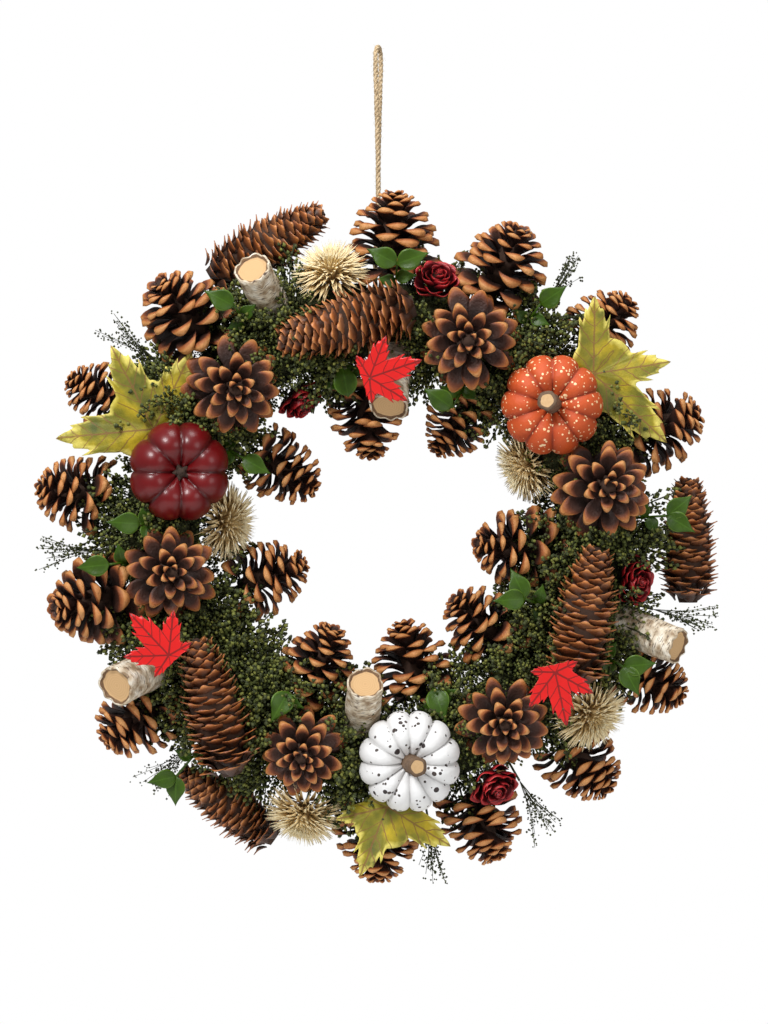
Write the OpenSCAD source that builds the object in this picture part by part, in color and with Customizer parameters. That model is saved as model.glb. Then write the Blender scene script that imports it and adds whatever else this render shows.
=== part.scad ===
// Harvest door wreath: a bound straw ring under a moss mat, dressed with cones, small pumpkins,
// birch pieces, straw flowers and leaves on wire picks, and hung from a doubled twine loop.
// Millimetres, +Z up. The origin is the inside of the loop's top, where it rests on its hook.
// The front faces -Y and the door is on the +Y side.

/* [Ring] */
// Radius of the ring, from its centre to the middle of the straw roll
ring_r = 110; // [100:1:150]
// Radius of the straw roll
straw_r = 16; // [13:0.5:18]
// Thickness of the moss mat over the front of the straw
mat_t = 1.6; // [1:0.1:3]
// How far round the straw the mat reaches past its outer and inner edge, in degrees
mat_wrap = 30; // [10:1:40]
// Diameter of the binding twine round the straw
binding_d = 1.2; // [0.8:0.1:1.6]
// Number of binding turns
binding_turns = 28; // [12:2:40]

/* [Hanging loop] */
// Diameter of the jute twine
cord_d = 2.5; // [2:0.1:3]
// Space between the two turns of the hitch
hitch_gap = 0.5; // [0.3:0.1:1]

/* [Wire picks] */
// Diameter of the pick wire
pick_d = 1.6; // [1:0.1:2]
// How deep a pick goes into the straw
pick_bite = 9; // [6:1:10]
// How deep a pick goes into its piece
pick_in = 7; // [4:1:9]

/* [Reach and lift] */
// How far the outer cones' tips stand from the middle of the straw
outer_reach = 70; // [66:0.5:74]
// The least that the inner cones' tips stand from the middle of the straw
inner_reach = 64; // [60:0.5:66]
// The least height of a cone's foot above the mat
least_lift = 4; // [3:0.5:6]
// Height of the open cones' feet above the mat on the face
face_lift = 4; // [3:0.5:6]
// Height of the birch pieces' feet above the mat
log_lift = 3; // [2:0.5:5]
// Height above the mat of the spruce cones that lie at the rim
rim_lift = 12; // [10:0.5:14]

/* [Pine cones] */
// Length of the largest cone of the outer row
outer_l = 46; // [36:1:50]
// Width of the largest cone of the outer row
outer_w = 45; // [34:1:46]
// Length of the largest cone of the inner row
inner_l = 46; // [36:1:48]
// Width of the largest cone of the inner row
inner_w = 41; // [32:1:42]
// Length of the largest open cone on the face
face_l = 42; // [34:1:46]
// Width of the largest open cone on the face
face_w = 48; // [38:1:49]
// Number of scale rows that show down a pine cone's side
pine_rows = 5; // [4:1:7]

/* [Spruce cones] */
// Length of the largest spruce cone
spruce_l = 80; // [60:1:84]
// Width of the largest spruce cone
spruce_w = 39; // [30:1:40]
// Number of scale rows that show down a spruce cone's side
spruce_rows = 9; // [6:1:12]

/* [Pumpkins] */
// Width of a pumpkin
pumpkin_w = 51; // [42:1:52]
// Radius of one pumpkin rib
rib_r = 18; // [14:0.5:20]
// Width of the stem
stem_d = 9; // [6:0.5:11]
// Length of the stem
stem_h = 10; // [6:0.5:14]

/* [Birch pieces] */
// Diameter of the thickest birch piece
birch_d = 21; // [16:0.5:22]
// Length of the longest birch piece
birch_l = 40; // [30:1:42]
// Thickness of the bark that stands proud round the cut end
bark_t = 1.2; // [0.8:0.1:2]

/* [Flowers] */
// Width of the largest straw flower
flower_w = 35; // [28:1:36]
// Height of a straw flower
flower_h = 20; // [16:1:24]
// Width of the largest rose cone
rose_w = 28; // [22:1:30]
// Height of a rose cone
rose_h = 20; // [16:1:24]

/* [Leaves] */
// Thickness of a red wooden maple leaf
wood_leaf_t = 1.5; // [1:0.1:2]
// Length of a red maple leaf from its vein root to its tip
wood_leaf_l = 27; // [22:1:30]
// Thickness of a yellow cloth maple leaf with its wired veins
cloth_leaf_t = 1; // [0.8:0.1:1.5]
// Length of a yellow maple leaf from its vein root to its tip
cloth_leaf_l = 50; // [40:1:54]
// Length of a box leaf
box_leaf_l = 17; // [12:1:20]
// Width of a box leaf
box_leaf_w = 10; // [7:1:12]
// Thickness of a box leaf
box_leaf_t = 1; // [0.8:0.1:1.4]

/* [Fillers] */
// Radius of a moss tuft
tuft_r = 6; // [4:0.5:8]
// Height of a moss tuft
tuft_h = 10; // [6:1:14]
// Length of a dried spray
spray_l = 26; // [16:1:30]
// Width of a dried spray at its end
spray_w = 7; // [4:1:9]

/* [Hidden] */
$fn = 48;
// The twine's way from the hitch up behind the ring, round the hook and down again: x, y, z.
cord_route = [
    [-1.5, 0, -140], [-1.5, 0, -132], [-1.5, 0, -122], [-1.5, 0.5, -112], [-1.2, 1, -102],
    [-0.7, 1.4, -92], [-0.2, 1.6, -80], [0, 1.6, -66], [0.2, 1.8, -52], [0.5, 2.4, -40],
    [0.8, 3.4, -28], [1.1, 4.2, -18], [1.3, 4.7, -10], [1.3, 4.8, -4], [1.1, 4.2, -1.5],
    [0.6, 2.4, 0.6], [0, 0, 1.3], [-0.6, -2.4, 0.6], [-1.1, -4.2, -1.5], [-1.3, -4.8, -4],
    [-1.3, -4.7, -10], [-1.1, -4.2, -18], [-0.8, -3.4, -28], [-0.5, -2.4, -40],
    [-0.2, -1.8, -52], [0, -1.6, -66], [0.2, -1.6, -80], [0.7, -1.4, -92], [1.2, -1, -102],
    [1.5, -0.5, -112], [1.5, 0, -122], [1.5, 0, -132], [1.5, 0, -140]
];
loop_h = -cord_route[0].z;      // from the middle of the straw at the top up to the hook
fit_gap = 0.1;                 // room round twine and picks that are pressed into place
run_gap = 0.3;                 // room round the straw inside the hitch, where it turns
ring_y = -(straw_r + run_gap + cord_d / 2);   // the twine rises straight up behind the straw
ring_z = -loop_h - ring_r;
mat_in = straw_r + binding_d + fit_gap;
mat_out = mat_in + mat_t;
seat_gap = 0.3;                // room between the mat and what stands on it
seat_r = mat_out + seat_gap;   // where a piece's foot is, from the middle of the straw
pick_bore = pick_d + 2 * fit_gap;
hitch_x = (cord_d + hitch_gap) / 2;
hollow_h = 9;                  // depth of the hollow in a pumpkin's top
rib_flat = 1;                  // how much of a pumpkin's ribs is cut off underneath
pumpkin_top = 2 * rib_r - rib_flat;
slot_half = hitch_x + cord_d / 2 + 1.5;       // half the width of the mat's slot for the hitch

// Every piece has its place as [clock, stance, lift, size, ...]. Clock is its place on the ring in
// degrees clockwise from the top as seen from the front. Stance is its place round the straw: 0
// points out of the ring, 90 at the viewer, 180 into the middle. Lift is how far its foot stands
// off the mat, and size is its share of the largest of its kind, in percent.

// The lift that brings a cone's tip to a given reach from the middle of the straw.
function lift_to(reach, l) = max(least_lift, reach - seat_r - l);

// The outer cones come out to one rim: clock, stance, size.
outer_cones = [for (c = [
    [3, 10, 100], [25, 20, 100], [47, 5, 80], [69, 5, 95], [118, 5, 80], [138, 5, 85],
    [160, 5, 90], [180, 5, 95], [233, 15, 90], [257, 30, 100], [278, 15, 85], [297, 5, 70],
    [319, 25, 100]
]) [c[0], c[1], lift_to(outer_reach, outer_l * c[2] / 100), c[2]]];
// The inner cones reach into the middle as far as their neighbours let them: clock, stance, size,
// and how much further than the least reach.
inner_cones = [for (c = [
    [355, 175, 95, 12], [305, 175, 85, 12], [250, 175, 90, 12], [205, 165, 90, 2],
    [165, 175, 100, 6], [130, 165, 95, 4], [95, 160, 100, 6], [35, 170, 80, 0]
]) [c[0], c[1], lift_to(inner_reach + c[3], inner_l * c[2] / 100), c[2]]];
// The open cones on the face: clock, stance, size.
face_cones = [for (c = [
    [316, 100, 95], [25, 94, 100], [78, 83, 100], [260, 97, 95], [199, 83, 85], [146, 87, 90]
]) [c[0], c[1], face_lift, c[2]]];
// A spruce cone lies on its side: it also has a turn about its pick, and a tip-up angle. Three lie
// on the face and three stand out at the rim.
spruce_cones = [
    [350, 95, 1, 95, 185, 0], [225, 80, 1, 95, -30, 0], [110, 90, 1, 95, 190, 0],
    [340, 0, rim_lift, 90, 0, 10], [90, 5, rim_lift, 85, 180, 0], [210, 0, rim_lift, 80, 0, -5]
];
// A pumpkin sits on the mat, and has a number of ribs.
pumpkins = [[288, 99, 0, 100, 8], [53, 92, 0, 100, 10], [172, 85, 0, 100, 12]];
rose_cones = [[13, 50, 8, 100], [330, 160, 8, 95], [100, 45, 4, 100], [155, 45, 14, 100]];
straw_flowers = [
    [350, 40, 8, 95], [275, 155, 12, 95], [65, 160, 4, 95], [130, 40, 14, 95], [195, 30, 16, 95]
];
birch_logs = [for (c = [[335, 50, 90], [5, 140, 95], [110, 30, 90], [240, 50, 100], [185, 130, 90]])
    [c[0], c[1], log_lift, c[2]]];

// A maple leaf stands on its own wire and faces the viewer: it has a turn, a tip-forward angle,
// and how far its vein root lies ahead of the wire.
red_leaves = [
    [357, 121, 42, 100, -75, 18, 2], [247, 78, 41, 100, -70, 0, -13], [133, 76, 41, 96, -35, 0, -17]
];
yellow_leaves = [
    [297, 55, 14, 100, -36, 0, -6], [54, 43, 21, 88, -27, 0, -5], [179, 44, 24, 84, -23, 8, -6]
];
// The three lobes that show of each yellow leaf: direction from its middle, and reach.
yellow_lobes = [
    [[-53, 0.88], [0, 0.95], [68, 1]], [[-52, 1.15], [0, 0.9], [80, 0.9]],
    [[-54, 0.65], [0, 0.9], [80, 0.9]]
];
// A box sprig has a turn and a number of leaves.
box_sprigs = [
    [328, 58, 27, 100, 30, 1], [273, 80, 27, 100, 0, 1], [264, 60, 28, 100, 0, 1],
    [4, 56, 26, 100, 0, 3], [30, 140, 26, 100, 90, 1], [113, 127, 30, 100, 173, 2],
    [210, 120, 20, 100, 0, 1], [160, 135, 20, 100, 0, 1], [220, 22, 30, 100, 0, 2],
    [348, 145, 26, 100, 0, 1], [86, 38, 24, 100, 0, 2], [118, 52, 26, 100, 0, 2],
    [35, 45, 24, 100, -20, 1], [300, 138, 22, 100, 180, 1]
];
moss_tufts = [
    [20, 135, 0, 100], [38, 70, 0, 100], [38, 130, 0, 100], [65, 60, 0, 100], [66, 125, 0, 100],
    [104, 125, 0, 100], [120, 136, 0, 100], [140, 125, 0, 100], [153, 130, 0, 100],
    [158, 96, 0, 100], [188, 62, 0, 100], [212, 40, 0, 100], [218, 134, 0, 100],
    [236, 135, 0, 100], [247, 120, 0, 100], [268, 65, 0, 100], [273, 115, 0, 100],
    [303, 60, 0, 100], [307, 140, 0, 100], [322, 72, 0, 100], [343, 140, 0, 100]
];
dried_sprays = [
    [267, 25, 24, 100], [222, 12, 24, 100], [105, 15, 26, 100], [150, 15, 24, 100],
    [170, 12, 26, 100], [36, 15, 24, 100], [308, 12, 24, 100]
];

function numbered(name, rows) = [for (i = [1:len(rows)]) str(name, "_", i)];

// ---- placing -------------------------------------------------------------------------------

// The straw's cross-section at one clock place: +X out of the ring, -Y to the front.
module at_ring(clock) {
    translate([0, ring_y, ring_z]) rotate([0, clock - 90, 0]) translate([ring_r, 0, 0]) children();
}

// Along a pick: +Z away from the straw, starting at the middle of the straw.
module along_pick(p) {
    at_ring(p[0]) rotate([0, 0, -p[1]]) rotate([0, 90, 0]) children();
}

// A pick, or the bore for it when it is given the bore's diameter and some spare length.
module pick(p, d, spare) {
    along_pick(p) translate([0, 0, straw_r - pick_bite - spare])
        cylinder(d = d, h = pick_bite + seat_r - straw_r + p[2] + pick_in + 2 * spare);
}

// The wire that a leaf or a spray is made on ends at the piece's foot.
module stem(p, d, spare) {
    along_pick(p) translate([0, 0, straw_r - pick_bite - spare])
        cylinder(d = d, h = pick_bite + seat_r - straw_r + p[2] + spare);
}

// A piece on its pick: the children stand with their foot at the seat, and get the pick's bore.
module on_pick(p) {
    difference() {
        along_pick(p) translate([0, 0, seat_r + p[2]]) children();
        pick(p, pick_bore, fit_gap);
    }
}

// ---- ring ----------------------------------------------------------------------------------

picked = concat(outer_cones, inner_cones, face_cones, spruce_cones, pumpkins, rose_cones,
    straw_flowers, birch_logs);
stemmed = concat(red_leaves, yellow_leaves, box_sprigs, dried_sprays);

module all_bores() {
    for (p = picked) pick(p, pick_bore, fit_gap);
    for (p = stemmed) stem(p, pick_bore, fit_gap);
}

module straw_ring() {
    color("khaki") difference() {
        translate([0, ring_y, ring_z]) rotate([90, 0, 0])
            rotate_extrude($fn = 96) translate([ring_r, 0]) circle(r = straw_r);
        all_bores();
    }
}

// Twine turns round the straw, each drawn as a closed ring, evenly spaced either side of the top.
module ring_binding() {
    step = 360 / binding_turns;
    color("tan") for (i = [0:binding_turns - 1]) at_ring((i + 0.5) * step)
        rotate_extrude() translate([straw_r + fit_gap / 2 + binding_d / 2, 0])
            circle(d = binding_d, $fn = 16);
}

// A thin skin of moss over the front of the straw, open at the top where the hitch goes round.
module moss_mat() {
    reach = 2 * mat_out;
    slot_angle = asin(slot_half / (ring_r - mat_out));
    color("darkolivegreen") difference() {
        translate([0, ring_y, ring_z]) rotate([0, -90 - slot_angle, 0]) rotate([90, 0, 0])
            rotate_extrude(angle = 360 - 2 * slot_angle, $fn = 96) translate([ring_r, 0])
                intersection() {
                    difference() {
                        circle(r = mat_out);
                        circle(r = mat_in);
                    }
                    polygon([
                        [0, 0], [reach * cos(mat_wrap), -reach * sin(mat_wrap)], [reach, 0],
                        [reach, reach], [-reach, reach], [-reach, 0],
                        [-reach * cos(mat_wrap), -reach * sin(mat_wrap)]
                    ]);
                }
        all_bores();
    }
}

module wire_picks() {
    color("dimgray") for (p = picked) pick(p, pick_d, 0);
}

// ---- hanging loop --------------------------------------------------------------------------

// A tube of n sides round a route, with one ring of points at each of the route's points.
module swept_tube(route, d, n) {
    last = len(route) - 1;
    function unit(v) = v / norm(v);
    function heading(i) = unit(route[min(i + 1, last)] - route[max(i - 1, 0)]);
    function side(i) = unit(cross(heading(i), [0.97, -0.26, 0]));
    function rim(i) = let (s = side(i), t = cross(heading(i), s))
        [for (k = [0:n - 1]) route[i] + d / 2 * (cos(360 * k / n) * s + sin(360 * k / n) * t)];
    points = [for (i = [0:last]) each rim(i)];
    faces = concat(
        [[for (k = [n - 1:-1:0]) k]],
        [for (i = [0:last - 1]) for (k = [0:n - 1])
            [i * n + k, i * n + (k + 1) % n, (i + 1) * n + (k + 1) % n, (i + 1) * n + k]],
        [[for (k = [0:n - 1]) last * n + k]]
    );
    polyhedron(points, faces);
}

module hanger_loop() {
    color("burlywood") swept_tube(cord_route, cord_d, 8);
}

// The twine goes twice round the straw, and the two turns join in a bight behind the top.
module hanger_hitch() {
    turn_r = straw_r + run_gap + cord_d / 2;
    back = 90;
    turn_angle = 312;
    bight_d = cord_d + 0.6;
    bight_half = hitch_x + cord_d / 2 + 0.2;
    color("burlywood") at_ring(0) {
        for (side = [-1, 1]) translate([0, 0, side * hitch_x]) rotate([0, 0, back])
            rotate_extrude(angle = turn_angle)
                translate([turn_r, 0]) circle(d = cord_d, $fn = 24);
        rotate([0, 0, back + turn_angle]) translate([turn_r + 0.2, 0, -bight_half])
            cylinder(d = bight_d, h = 2 * bight_half, $fn = 24);
    }
}

// ---- cones ---------------------------------------------------------------------------------

// Half-width of a cone at t of its length, as a share of its greatest: widest at t = widest,
// with a foot and a tip that are narrower but not pointed.
function cone_swell(t, widest, foot, tip) =
    let (reach = t < widest ? widest + foot : 1 - widest + tip, s = (t - widest) / reach)
    sqrt(1 - s * s);

// A cone standing on its foot, with its rows of scales as steps.
module stepped_cone(l, w, rows, widest, foot, tip, step_in) {
    rotate_extrude() polygon(concat(
        [[0, 0]],
        [for (i = [0:rows - 1]) each [
            [w / 2 * cone_swell(i / rows, widest, foot, tip) * step_in, l * i / rows],
            [w / 2 * cone_swell((i + 0.7) / rows, widest, foot, tip), l * (i + 0.7) / rows]
        ]],
        [[w / 2 * cone_swell(1, widest, foot, tip) * step_in, l], [0, l]]
    ));
}

module pine_cone(p, l, w) {
    color("saddlebrown") on_pick(p)
        stepped_cone(l * p[3] / 100, w * p[3] / 100, pine_rows, 0.42, 0.04, 0.06, 0.86);
}

module spruce_cone(p) {
    l = spruce_l * p[3] / 100;
    w = spruce_w * p[3] / 100;
    color("peru") on_pick(p) rotate([0, 0, p[4]])
        translate([0, 0, w / 2]) rotate([0, 90 - p[5], 0]) translate([0, 0, -l / 2])
            stepped_cone(l, w, spruce_rows, 0.45, 0.12, 0.12, 0.9);
}

// ---- pumpkins ------------------------------------------------------------------------------

// Ribs are balls set round the middle, cut flat underneath and hollowed at the top for the stem.
module pumpkin(p, paint) {
    ribs = p[4];
    out = pumpkin_w / 2 - rib_r;
    filling_r = out + 4;
    color(paint) on_pick(p) difference() {
        intersection() {
            union() {
                for (i = [0:ribs - 1]) rotate([0, 0, 360 * (i + 0.5) / ribs])
                    translate([out, 0, rib_r - rib_flat]) sphere(r = rib_r);
                cylinder(r = filling_r, h = pumpkin_top - hollow_h / 2);
            }
            cylinder(r = pumpkin_w, h = pumpkin_top + 1);
        }
        translate([0, 0, pumpkin_top - hollow_h])
            cylinder(r1 = stem_d / 2 + 1, r2 = max(out + 2, (stem_d + hollow_h) / 2), h = hollow_h + 2);
    }
}

// A stub of stem in the hollow of the orange and the white pumpkin, leaning as it dried.
module pumpkin_stem(p, lean_way) {
    color("sienna") along_pick(p) translate([0, 0, seat_r + p[2] + pumpkin_top - hollow_h])
        rotate([0, 0, lean_way]) {
            cylinder(d = stem_d * 0.8, h = hollow_h / 2 + 1);
            translate([0, 0, hollow_h / 2]) rotate([0, 25, 0])
                cylinder(d1 = stem_d * 0.8, d2 = stem_d, h = stem_h);
        }
}

module pumpkin_stems() {
    pumpkin_stem(pumpkins[1], 200);
    pumpkin_stem(pumpkins[2], 180);
}

// ---- flowers and birch ---------------------------------------------------------------------

module bloom(p, w, h, paint) {
    s = p[3] / 100;
    color(paint) on_pick(p) rotate_extrude() polygon([
        [0, 0], [w * s * 0.18, 0], [w * s * 0.42, h * 0.3], [w * s * 0.5, h * 0.55],
        [w * s * 0.42, h * 0.78], [w * s * 0.28, h * 0.94], [w * s * 0.1, h], [0, h]
    ]);
}

module rose_cone_group() {
    for (p = rose_cones) bloom(p, rose_w, rose_h, "firebrick");
}

module birch_log(p) {
    s = p[3] / 100;
    color("antiquewhite") on_pick(p) difference() {
        cylinder(d = birch_d * s, h = birch_l * s);
        translate([0, 0, birch_l * s - 0.8]) cylinder(d = birch_d * s - 2 * bark_t, h = 2);
    }
}

// ---- leaves --------------------------------------------------------------------------------

// Outline of a maple leaf with its vein root at the origin and its first lobe along +Y.
// Each lobe is [direction, reach]: a notch beside it, a shoulder, a tooth and the tip.
function on_ray(angle, r) = r * [-sin(angle), cos(angle)];
function maple_outline(l, lobes, notch, base) = [
    for (i = [0:len(lobes) - 1]) let (a = lobes[i][0], r = l * lobes[i][1]) each [
        on_ray(a - 13, r * 0.62), on_ray(a - 16, r * 0.76), on_ray(a, r), on_ray(a + 16, r * 0.76),
        on_ray(a + 13, r * 0.62),
        i < len(lobes) - 1 ? on_ray((a + lobes[i + 1][0]) / 2, l * notch) : [0, -l * base]
    ]
];
red_lobes = [[-110, 0.5], [-52, 0.8], [0, 1], [52, 0.8], [110, 0.5]];

// Turned from its wire to face the viewer, then round the viewing line.
module facing(p) {
    along_pick(p) translate([0, 0, seat_r + p[2]]) rotate([90 - p[1], 0, 0])
        rotate([0, 0, p[4]]) children();
}

module maple_leaf(p, l, t, lobes, notch, base) {
    facing(p) rotate([p[5], 0, 0]) translate([0, p[6], 0]) linear_extrude(t)
        polygon(maple_outline(l * p[3] / 100, lobes, notch, base));
    stem(p, pick_d, 0);
}

module maple_leaves_red() {
    color("red") for (p = red_leaves)
        maple_leaf(p, wood_leaf_l, wood_leaf_t, red_lobes, 0.35, 0.1);
}

module maple_leaves_yellow() {
    color("gold") for (i = [0:len(yellow_leaves) - 1])
        maple_leaf(yellow_leaves[i], cloth_leaf_l, cloth_leaf_t, yellow_lobes[i], 0.5, 0.03);
}

// A pointed oval leaf along +Y, between two arcs.
module box_leaf() {
    arc_r = (pow(box_leaf_l / 2, 2) + pow(box_leaf_w / 2, 2)) / box_leaf_w;
    translate([0, box_leaf_l / 2 - 0.5, 0]) linear_extrude(box_leaf_t) intersection() {
        translate([arc_r - box_leaf_w / 2, 0]) circle(r = arc_r);
        translate([-arc_r + box_leaf_w / 2, 0]) circle(r = arc_r);
    }
}

// A sprig's leaves fan out from the end of its wire.
module box_sprig(p) {
    leaves = p[5];
    spread = 65;
    stem(p, pick_d, 0);
    facing(p) for (i = [0:leaves - 1]) rotate([0, 0, spread * (i - (leaves - 1) / 2)])
        box_leaf();
}

module box_sprig_group() {
    color("darkgreen") for (p = box_sprigs) box_sprig(p);
}

// ---- fillers -------------------------------------------------------------------------------

module moss_tuft_group() {
    color("olive") for (p = moss_tufts) along_pick(p) translate([0, 0, seat_r - seat_gap])
        rotate_extrude() polygon([
            [0, 0.05], [tuft_r * 0.8, 1], [tuft_r, tuft_h * 0.4], [tuft_r * 0.7, tuft_h * 0.8],
            [tuft_r * 0.3, tuft_h], [0, tuft_h]
        ]);
}

module dried_spray_group() {
    color("yellowgreen") for (p = dried_sprays) {
        stem(p, pick_d, 0);
        along_pick(p) translate([0, 0, seat_r + p[2] - 1])
            cylinder(d1 = pick_d, d2 = spray_w, h = spray_l);
    }
}

// ---- the whole -----------------------------------------------------------------------------

straw_ring();
ring_binding();
moss_mat();
wire_picks();
hanger_loop();
hanger_hitch();
for (i = [1:len(outer_cones)])
    pine_cone(outer_cones[i - 1], outer_l, outer_w);
for (i = [1:len(inner_cones)])
    pine_cone(inner_cones[i - 1], inner_l, inner_w);
for (i = [1:len(face_cones)])
    pine_cone(face_cones[i - 1], face_l, face_w);
for (i = [1:len(spruce_cones)])
    spruce_cone(spruce_cones[i - 1]);
pumpkin(pumpkins[0], "darkred");  // pumpkin_red
pumpkin(pumpkins[1], "orangered");  // pumpkin_orange
pumpkin(pumpkins[2], "whitesmoke");  // pumpkin_white
rose_cone_group();  // rose_cones
for (i = [1:len(straw_flowers)])
    bloom(straw_flowers[i - 1], flower_w, flower_h, "cornsilk");
for (i = [1:len(birch_logs)])
    birch_log(birch_logs[i - 1]);
pumpkin_stems();
maple_leaves_red();
maple_leaves_yellow();
box_sprig_group();  // box_sprigs
moss_tuft_group();  // moss_tufts
dried_spray_group();  // dried_sprays
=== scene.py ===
import math

import bmesh
import bpy
import numpy as np
from mathutils import Matrix, Vector


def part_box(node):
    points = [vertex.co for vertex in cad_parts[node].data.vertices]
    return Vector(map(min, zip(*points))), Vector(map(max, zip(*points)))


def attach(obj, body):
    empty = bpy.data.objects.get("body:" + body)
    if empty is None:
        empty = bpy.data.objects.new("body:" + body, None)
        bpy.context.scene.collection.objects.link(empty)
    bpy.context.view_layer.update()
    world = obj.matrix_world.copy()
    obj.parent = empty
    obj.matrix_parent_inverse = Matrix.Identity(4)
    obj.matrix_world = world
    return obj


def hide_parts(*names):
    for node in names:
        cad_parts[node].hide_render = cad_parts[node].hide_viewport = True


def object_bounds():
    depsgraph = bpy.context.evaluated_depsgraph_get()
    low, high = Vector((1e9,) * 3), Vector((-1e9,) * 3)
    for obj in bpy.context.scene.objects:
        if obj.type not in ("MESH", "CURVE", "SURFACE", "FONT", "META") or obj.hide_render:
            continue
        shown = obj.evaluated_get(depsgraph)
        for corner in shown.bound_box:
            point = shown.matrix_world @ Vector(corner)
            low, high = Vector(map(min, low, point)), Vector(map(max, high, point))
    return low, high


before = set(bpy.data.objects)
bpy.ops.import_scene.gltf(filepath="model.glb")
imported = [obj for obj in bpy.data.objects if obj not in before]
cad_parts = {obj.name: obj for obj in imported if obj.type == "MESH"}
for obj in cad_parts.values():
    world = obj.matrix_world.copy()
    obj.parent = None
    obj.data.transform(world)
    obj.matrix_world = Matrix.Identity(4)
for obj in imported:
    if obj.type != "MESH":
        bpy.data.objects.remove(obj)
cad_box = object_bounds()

# ---- Camera, light and room ------------------------------------------------------------------
# The wreath hangs in a bright white room, seen square from the front with a long lens. The light
# is a large soft one from the upper left, a weaker one from the right, and a dimmer one on top.

VIEW_HEIGHT = 0.512
VIEW_MIDDLE = (0.003, -0.238)
LENS, SENSOR = 120, 36
FACE_DEPTH = -0.05
FLOOR_DROP, FLOOR_HALF, FLOOR_BACK = 0.12, 0.6, 0.25

camera = bpy.data.objects.new("camera", bpy.data.cameras.new("camera"))
camera.data.lens, camera.data.sensor_width = LENS, SENSOR
camera.location = (VIEW_MIDDLE[0], FACE_DEPTH - VIEW_HEIGHT * LENS / SENSOR, VIEW_MIDDLE[1])
camera.rotation_euler = (math.radians(90), 0, 0)
bpy.context.scene.collection.objects.link(camera)
bpy.context.scene.camera = camera
bpy.context.scene.view_settings.view_transform = "Standard"


def soft_light(name, place, size, watts):
    light = bpy.data.lights.new(name, "AREA")
    light.shape, light.size, light.energy = "DISK", size, watts
    lamp = bpy.data.objects.new(name, light)
    lamp.location = place
    aim = Vector((0, FACE_DEPTH, VIEW_MIDDLE[1])) - Vector(place)
    lamp.rotation_euler = aim.to_track_quat("-Z", "Y").to_euler()
    bpy.context.scene.collection.objects.link(lamp)


soft_light("key_light", (-0.75, -1.15, 0.85), 0.55, 27)
soft_light("fill_light", (1.1, -1.3, 0.1), 1.0, 7)
soft_light("top_light", (0.1, -0.3, 1.1), 0.6, 8)

room = bpy.data.worlds.new("room")
room.use_nodes = True
bpy.context.scene.world = room


class Wire:
    """A node's output. Sums on wires and numbers add the Math nodes for them."""

    def __init__(self, net, socket):
        self.net, self.socket = net, socket

    def sum(self, operation, first, second=None):
        sockets = {0: first} if second is None else {0: first, 1: second}
        return self.net.node("ShaderNodeMath", {"operation": operation}, sockets)

    def __add__(self, other):
        return self.sum("ADD", self, other)

    __radd__ = __add__

    def __sub__(self, other):
        return self.sum("SUBTRACT", self, other)

    def __rsub__(self, other):
        return self.sum("SUBTRACT", other, self)

    def __mul__(self, other):
        return self.sum("MULTIPLY", self, other)

    __rmul__ = __mul__

    def __truediv__(self, other):
        return self.sum("DIVIDE", self, other)

    def __rtruediv__(self, other):
        return self.sum("DIVIDE", other, self)

    def __pow__(self, other):
        return self.sum("POWER", self, other)

    def __gt__(self, other):
        return self.sum("GREATER_THAN", self, other)

    def __lt__(self, other):
        return self.sum("LESS_THAN", self, other)


class Net:
    """A node tree that is being wired."""

    def __init__(self, tree):
        self.tree = tree
        tree.nodes.clear()

    def node(self, kind, settings=None, sockets=None, out=0):
        made = self.tree.nodes.new(kind)
        for key, value in (settings or {}).items():
            if key == "stops":
                ramp = made.color_ramp
                while len(ramp.elements) < len(value):
                    ramp.elements.new(1)
                for stop, (place, colour) in zip(ramp.elements, value):
                    stop.position, stop.color = place, (*colour, 1)
            else:
                setattr(made, key, value)
        for key, value in (sockets or {}).items():
            if isinstance(value, Wire):
                self.tree.links.new(value.socket, made.inputs[key])
            elif isinstance(value, tuple) and made.inputs[key].type == "RGBA":
                made.inputs[key].default_value = (*value, 1)
            else:
                made.inputs[key].default_value = value
        if not made.outputs:
            return made
        return Wire(self, made.outputs[out])

    def noise(self, size, detail=3, where=None, stretch=None):
        """Noise from 0 to 1 whose grains are about size metres."""
        where = where or self.node("ShaderNodeTexCoord", out="Object")
        if stretch:
            where = self.node("ShaderNodeMapping", None, {"Vector": where, "Scale": stretch})
        return self.node("ShaderNodeTexNoise", None,
                         {"Vector": where, "Scale": 1 / size, "Detail": detail})

    def value(self, name):
        return self.node("ShaderNodeAttribute", {"attribute_name": name}, out="Fac")

    def ramp(self, factor, *stops):
        return self.node("ShaderNodeValToRGB", {"stops": stops}, {0: factor})

    def mix(self, factor, first, second):
        return self.node("ShaderNodeMix", {"data_type": "RGBA"},
                         {0: factor, 6: first, 7: second}, 2)


def finish_material(name, colour, rough, relief=None, depth=0.0, **fixed):
    """colour and relief are functions of the net; depth is the relief's height in metres."""
    material = bpy.data.materials.new(name)
    material.use_nodes = True
    net = Net(material.node_tree)
    sockets = {"Base Color": colour(net), "Roughness": rough}
    if relief:
        sockets["Normal"] = net.node("ShaderNodeBump", None,
                                     {"Height": relief(net), "Distance": depth, "Strength": 1.0})
    for key, value in fixed.items():
        sockets[key.replace("_", " ")] = value
    shader = net.node("ShaderNodeBsdfPrincipled", None, sockets)
    net.node("ShaderNodeOutputMaterial", None, {"Surface": shader})
    return material


# The room looks white, but lights the wreath less than a white room would, so that the gaps
# between the pieces stay dark.
ROOM_LIGHT = 0.30
net = Net(room.node_tree)
seen = net.node("ShaderNodeLightPath")
glow = net.node("ShaderNodeBackground", None, {
    "Color": (1, 1, 1), "Strength": seen * (1 - ROOM_LIGHT) + ROOM_LIGHT})
net.node("ShaderNodeOutputWorld", None, {"Surface": glow})


def paint_floor(net):
    return net.mix(net.noise(0.4), (0.86, 0.86, 0.85), (0.90, 0.90, 0.89))


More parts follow.
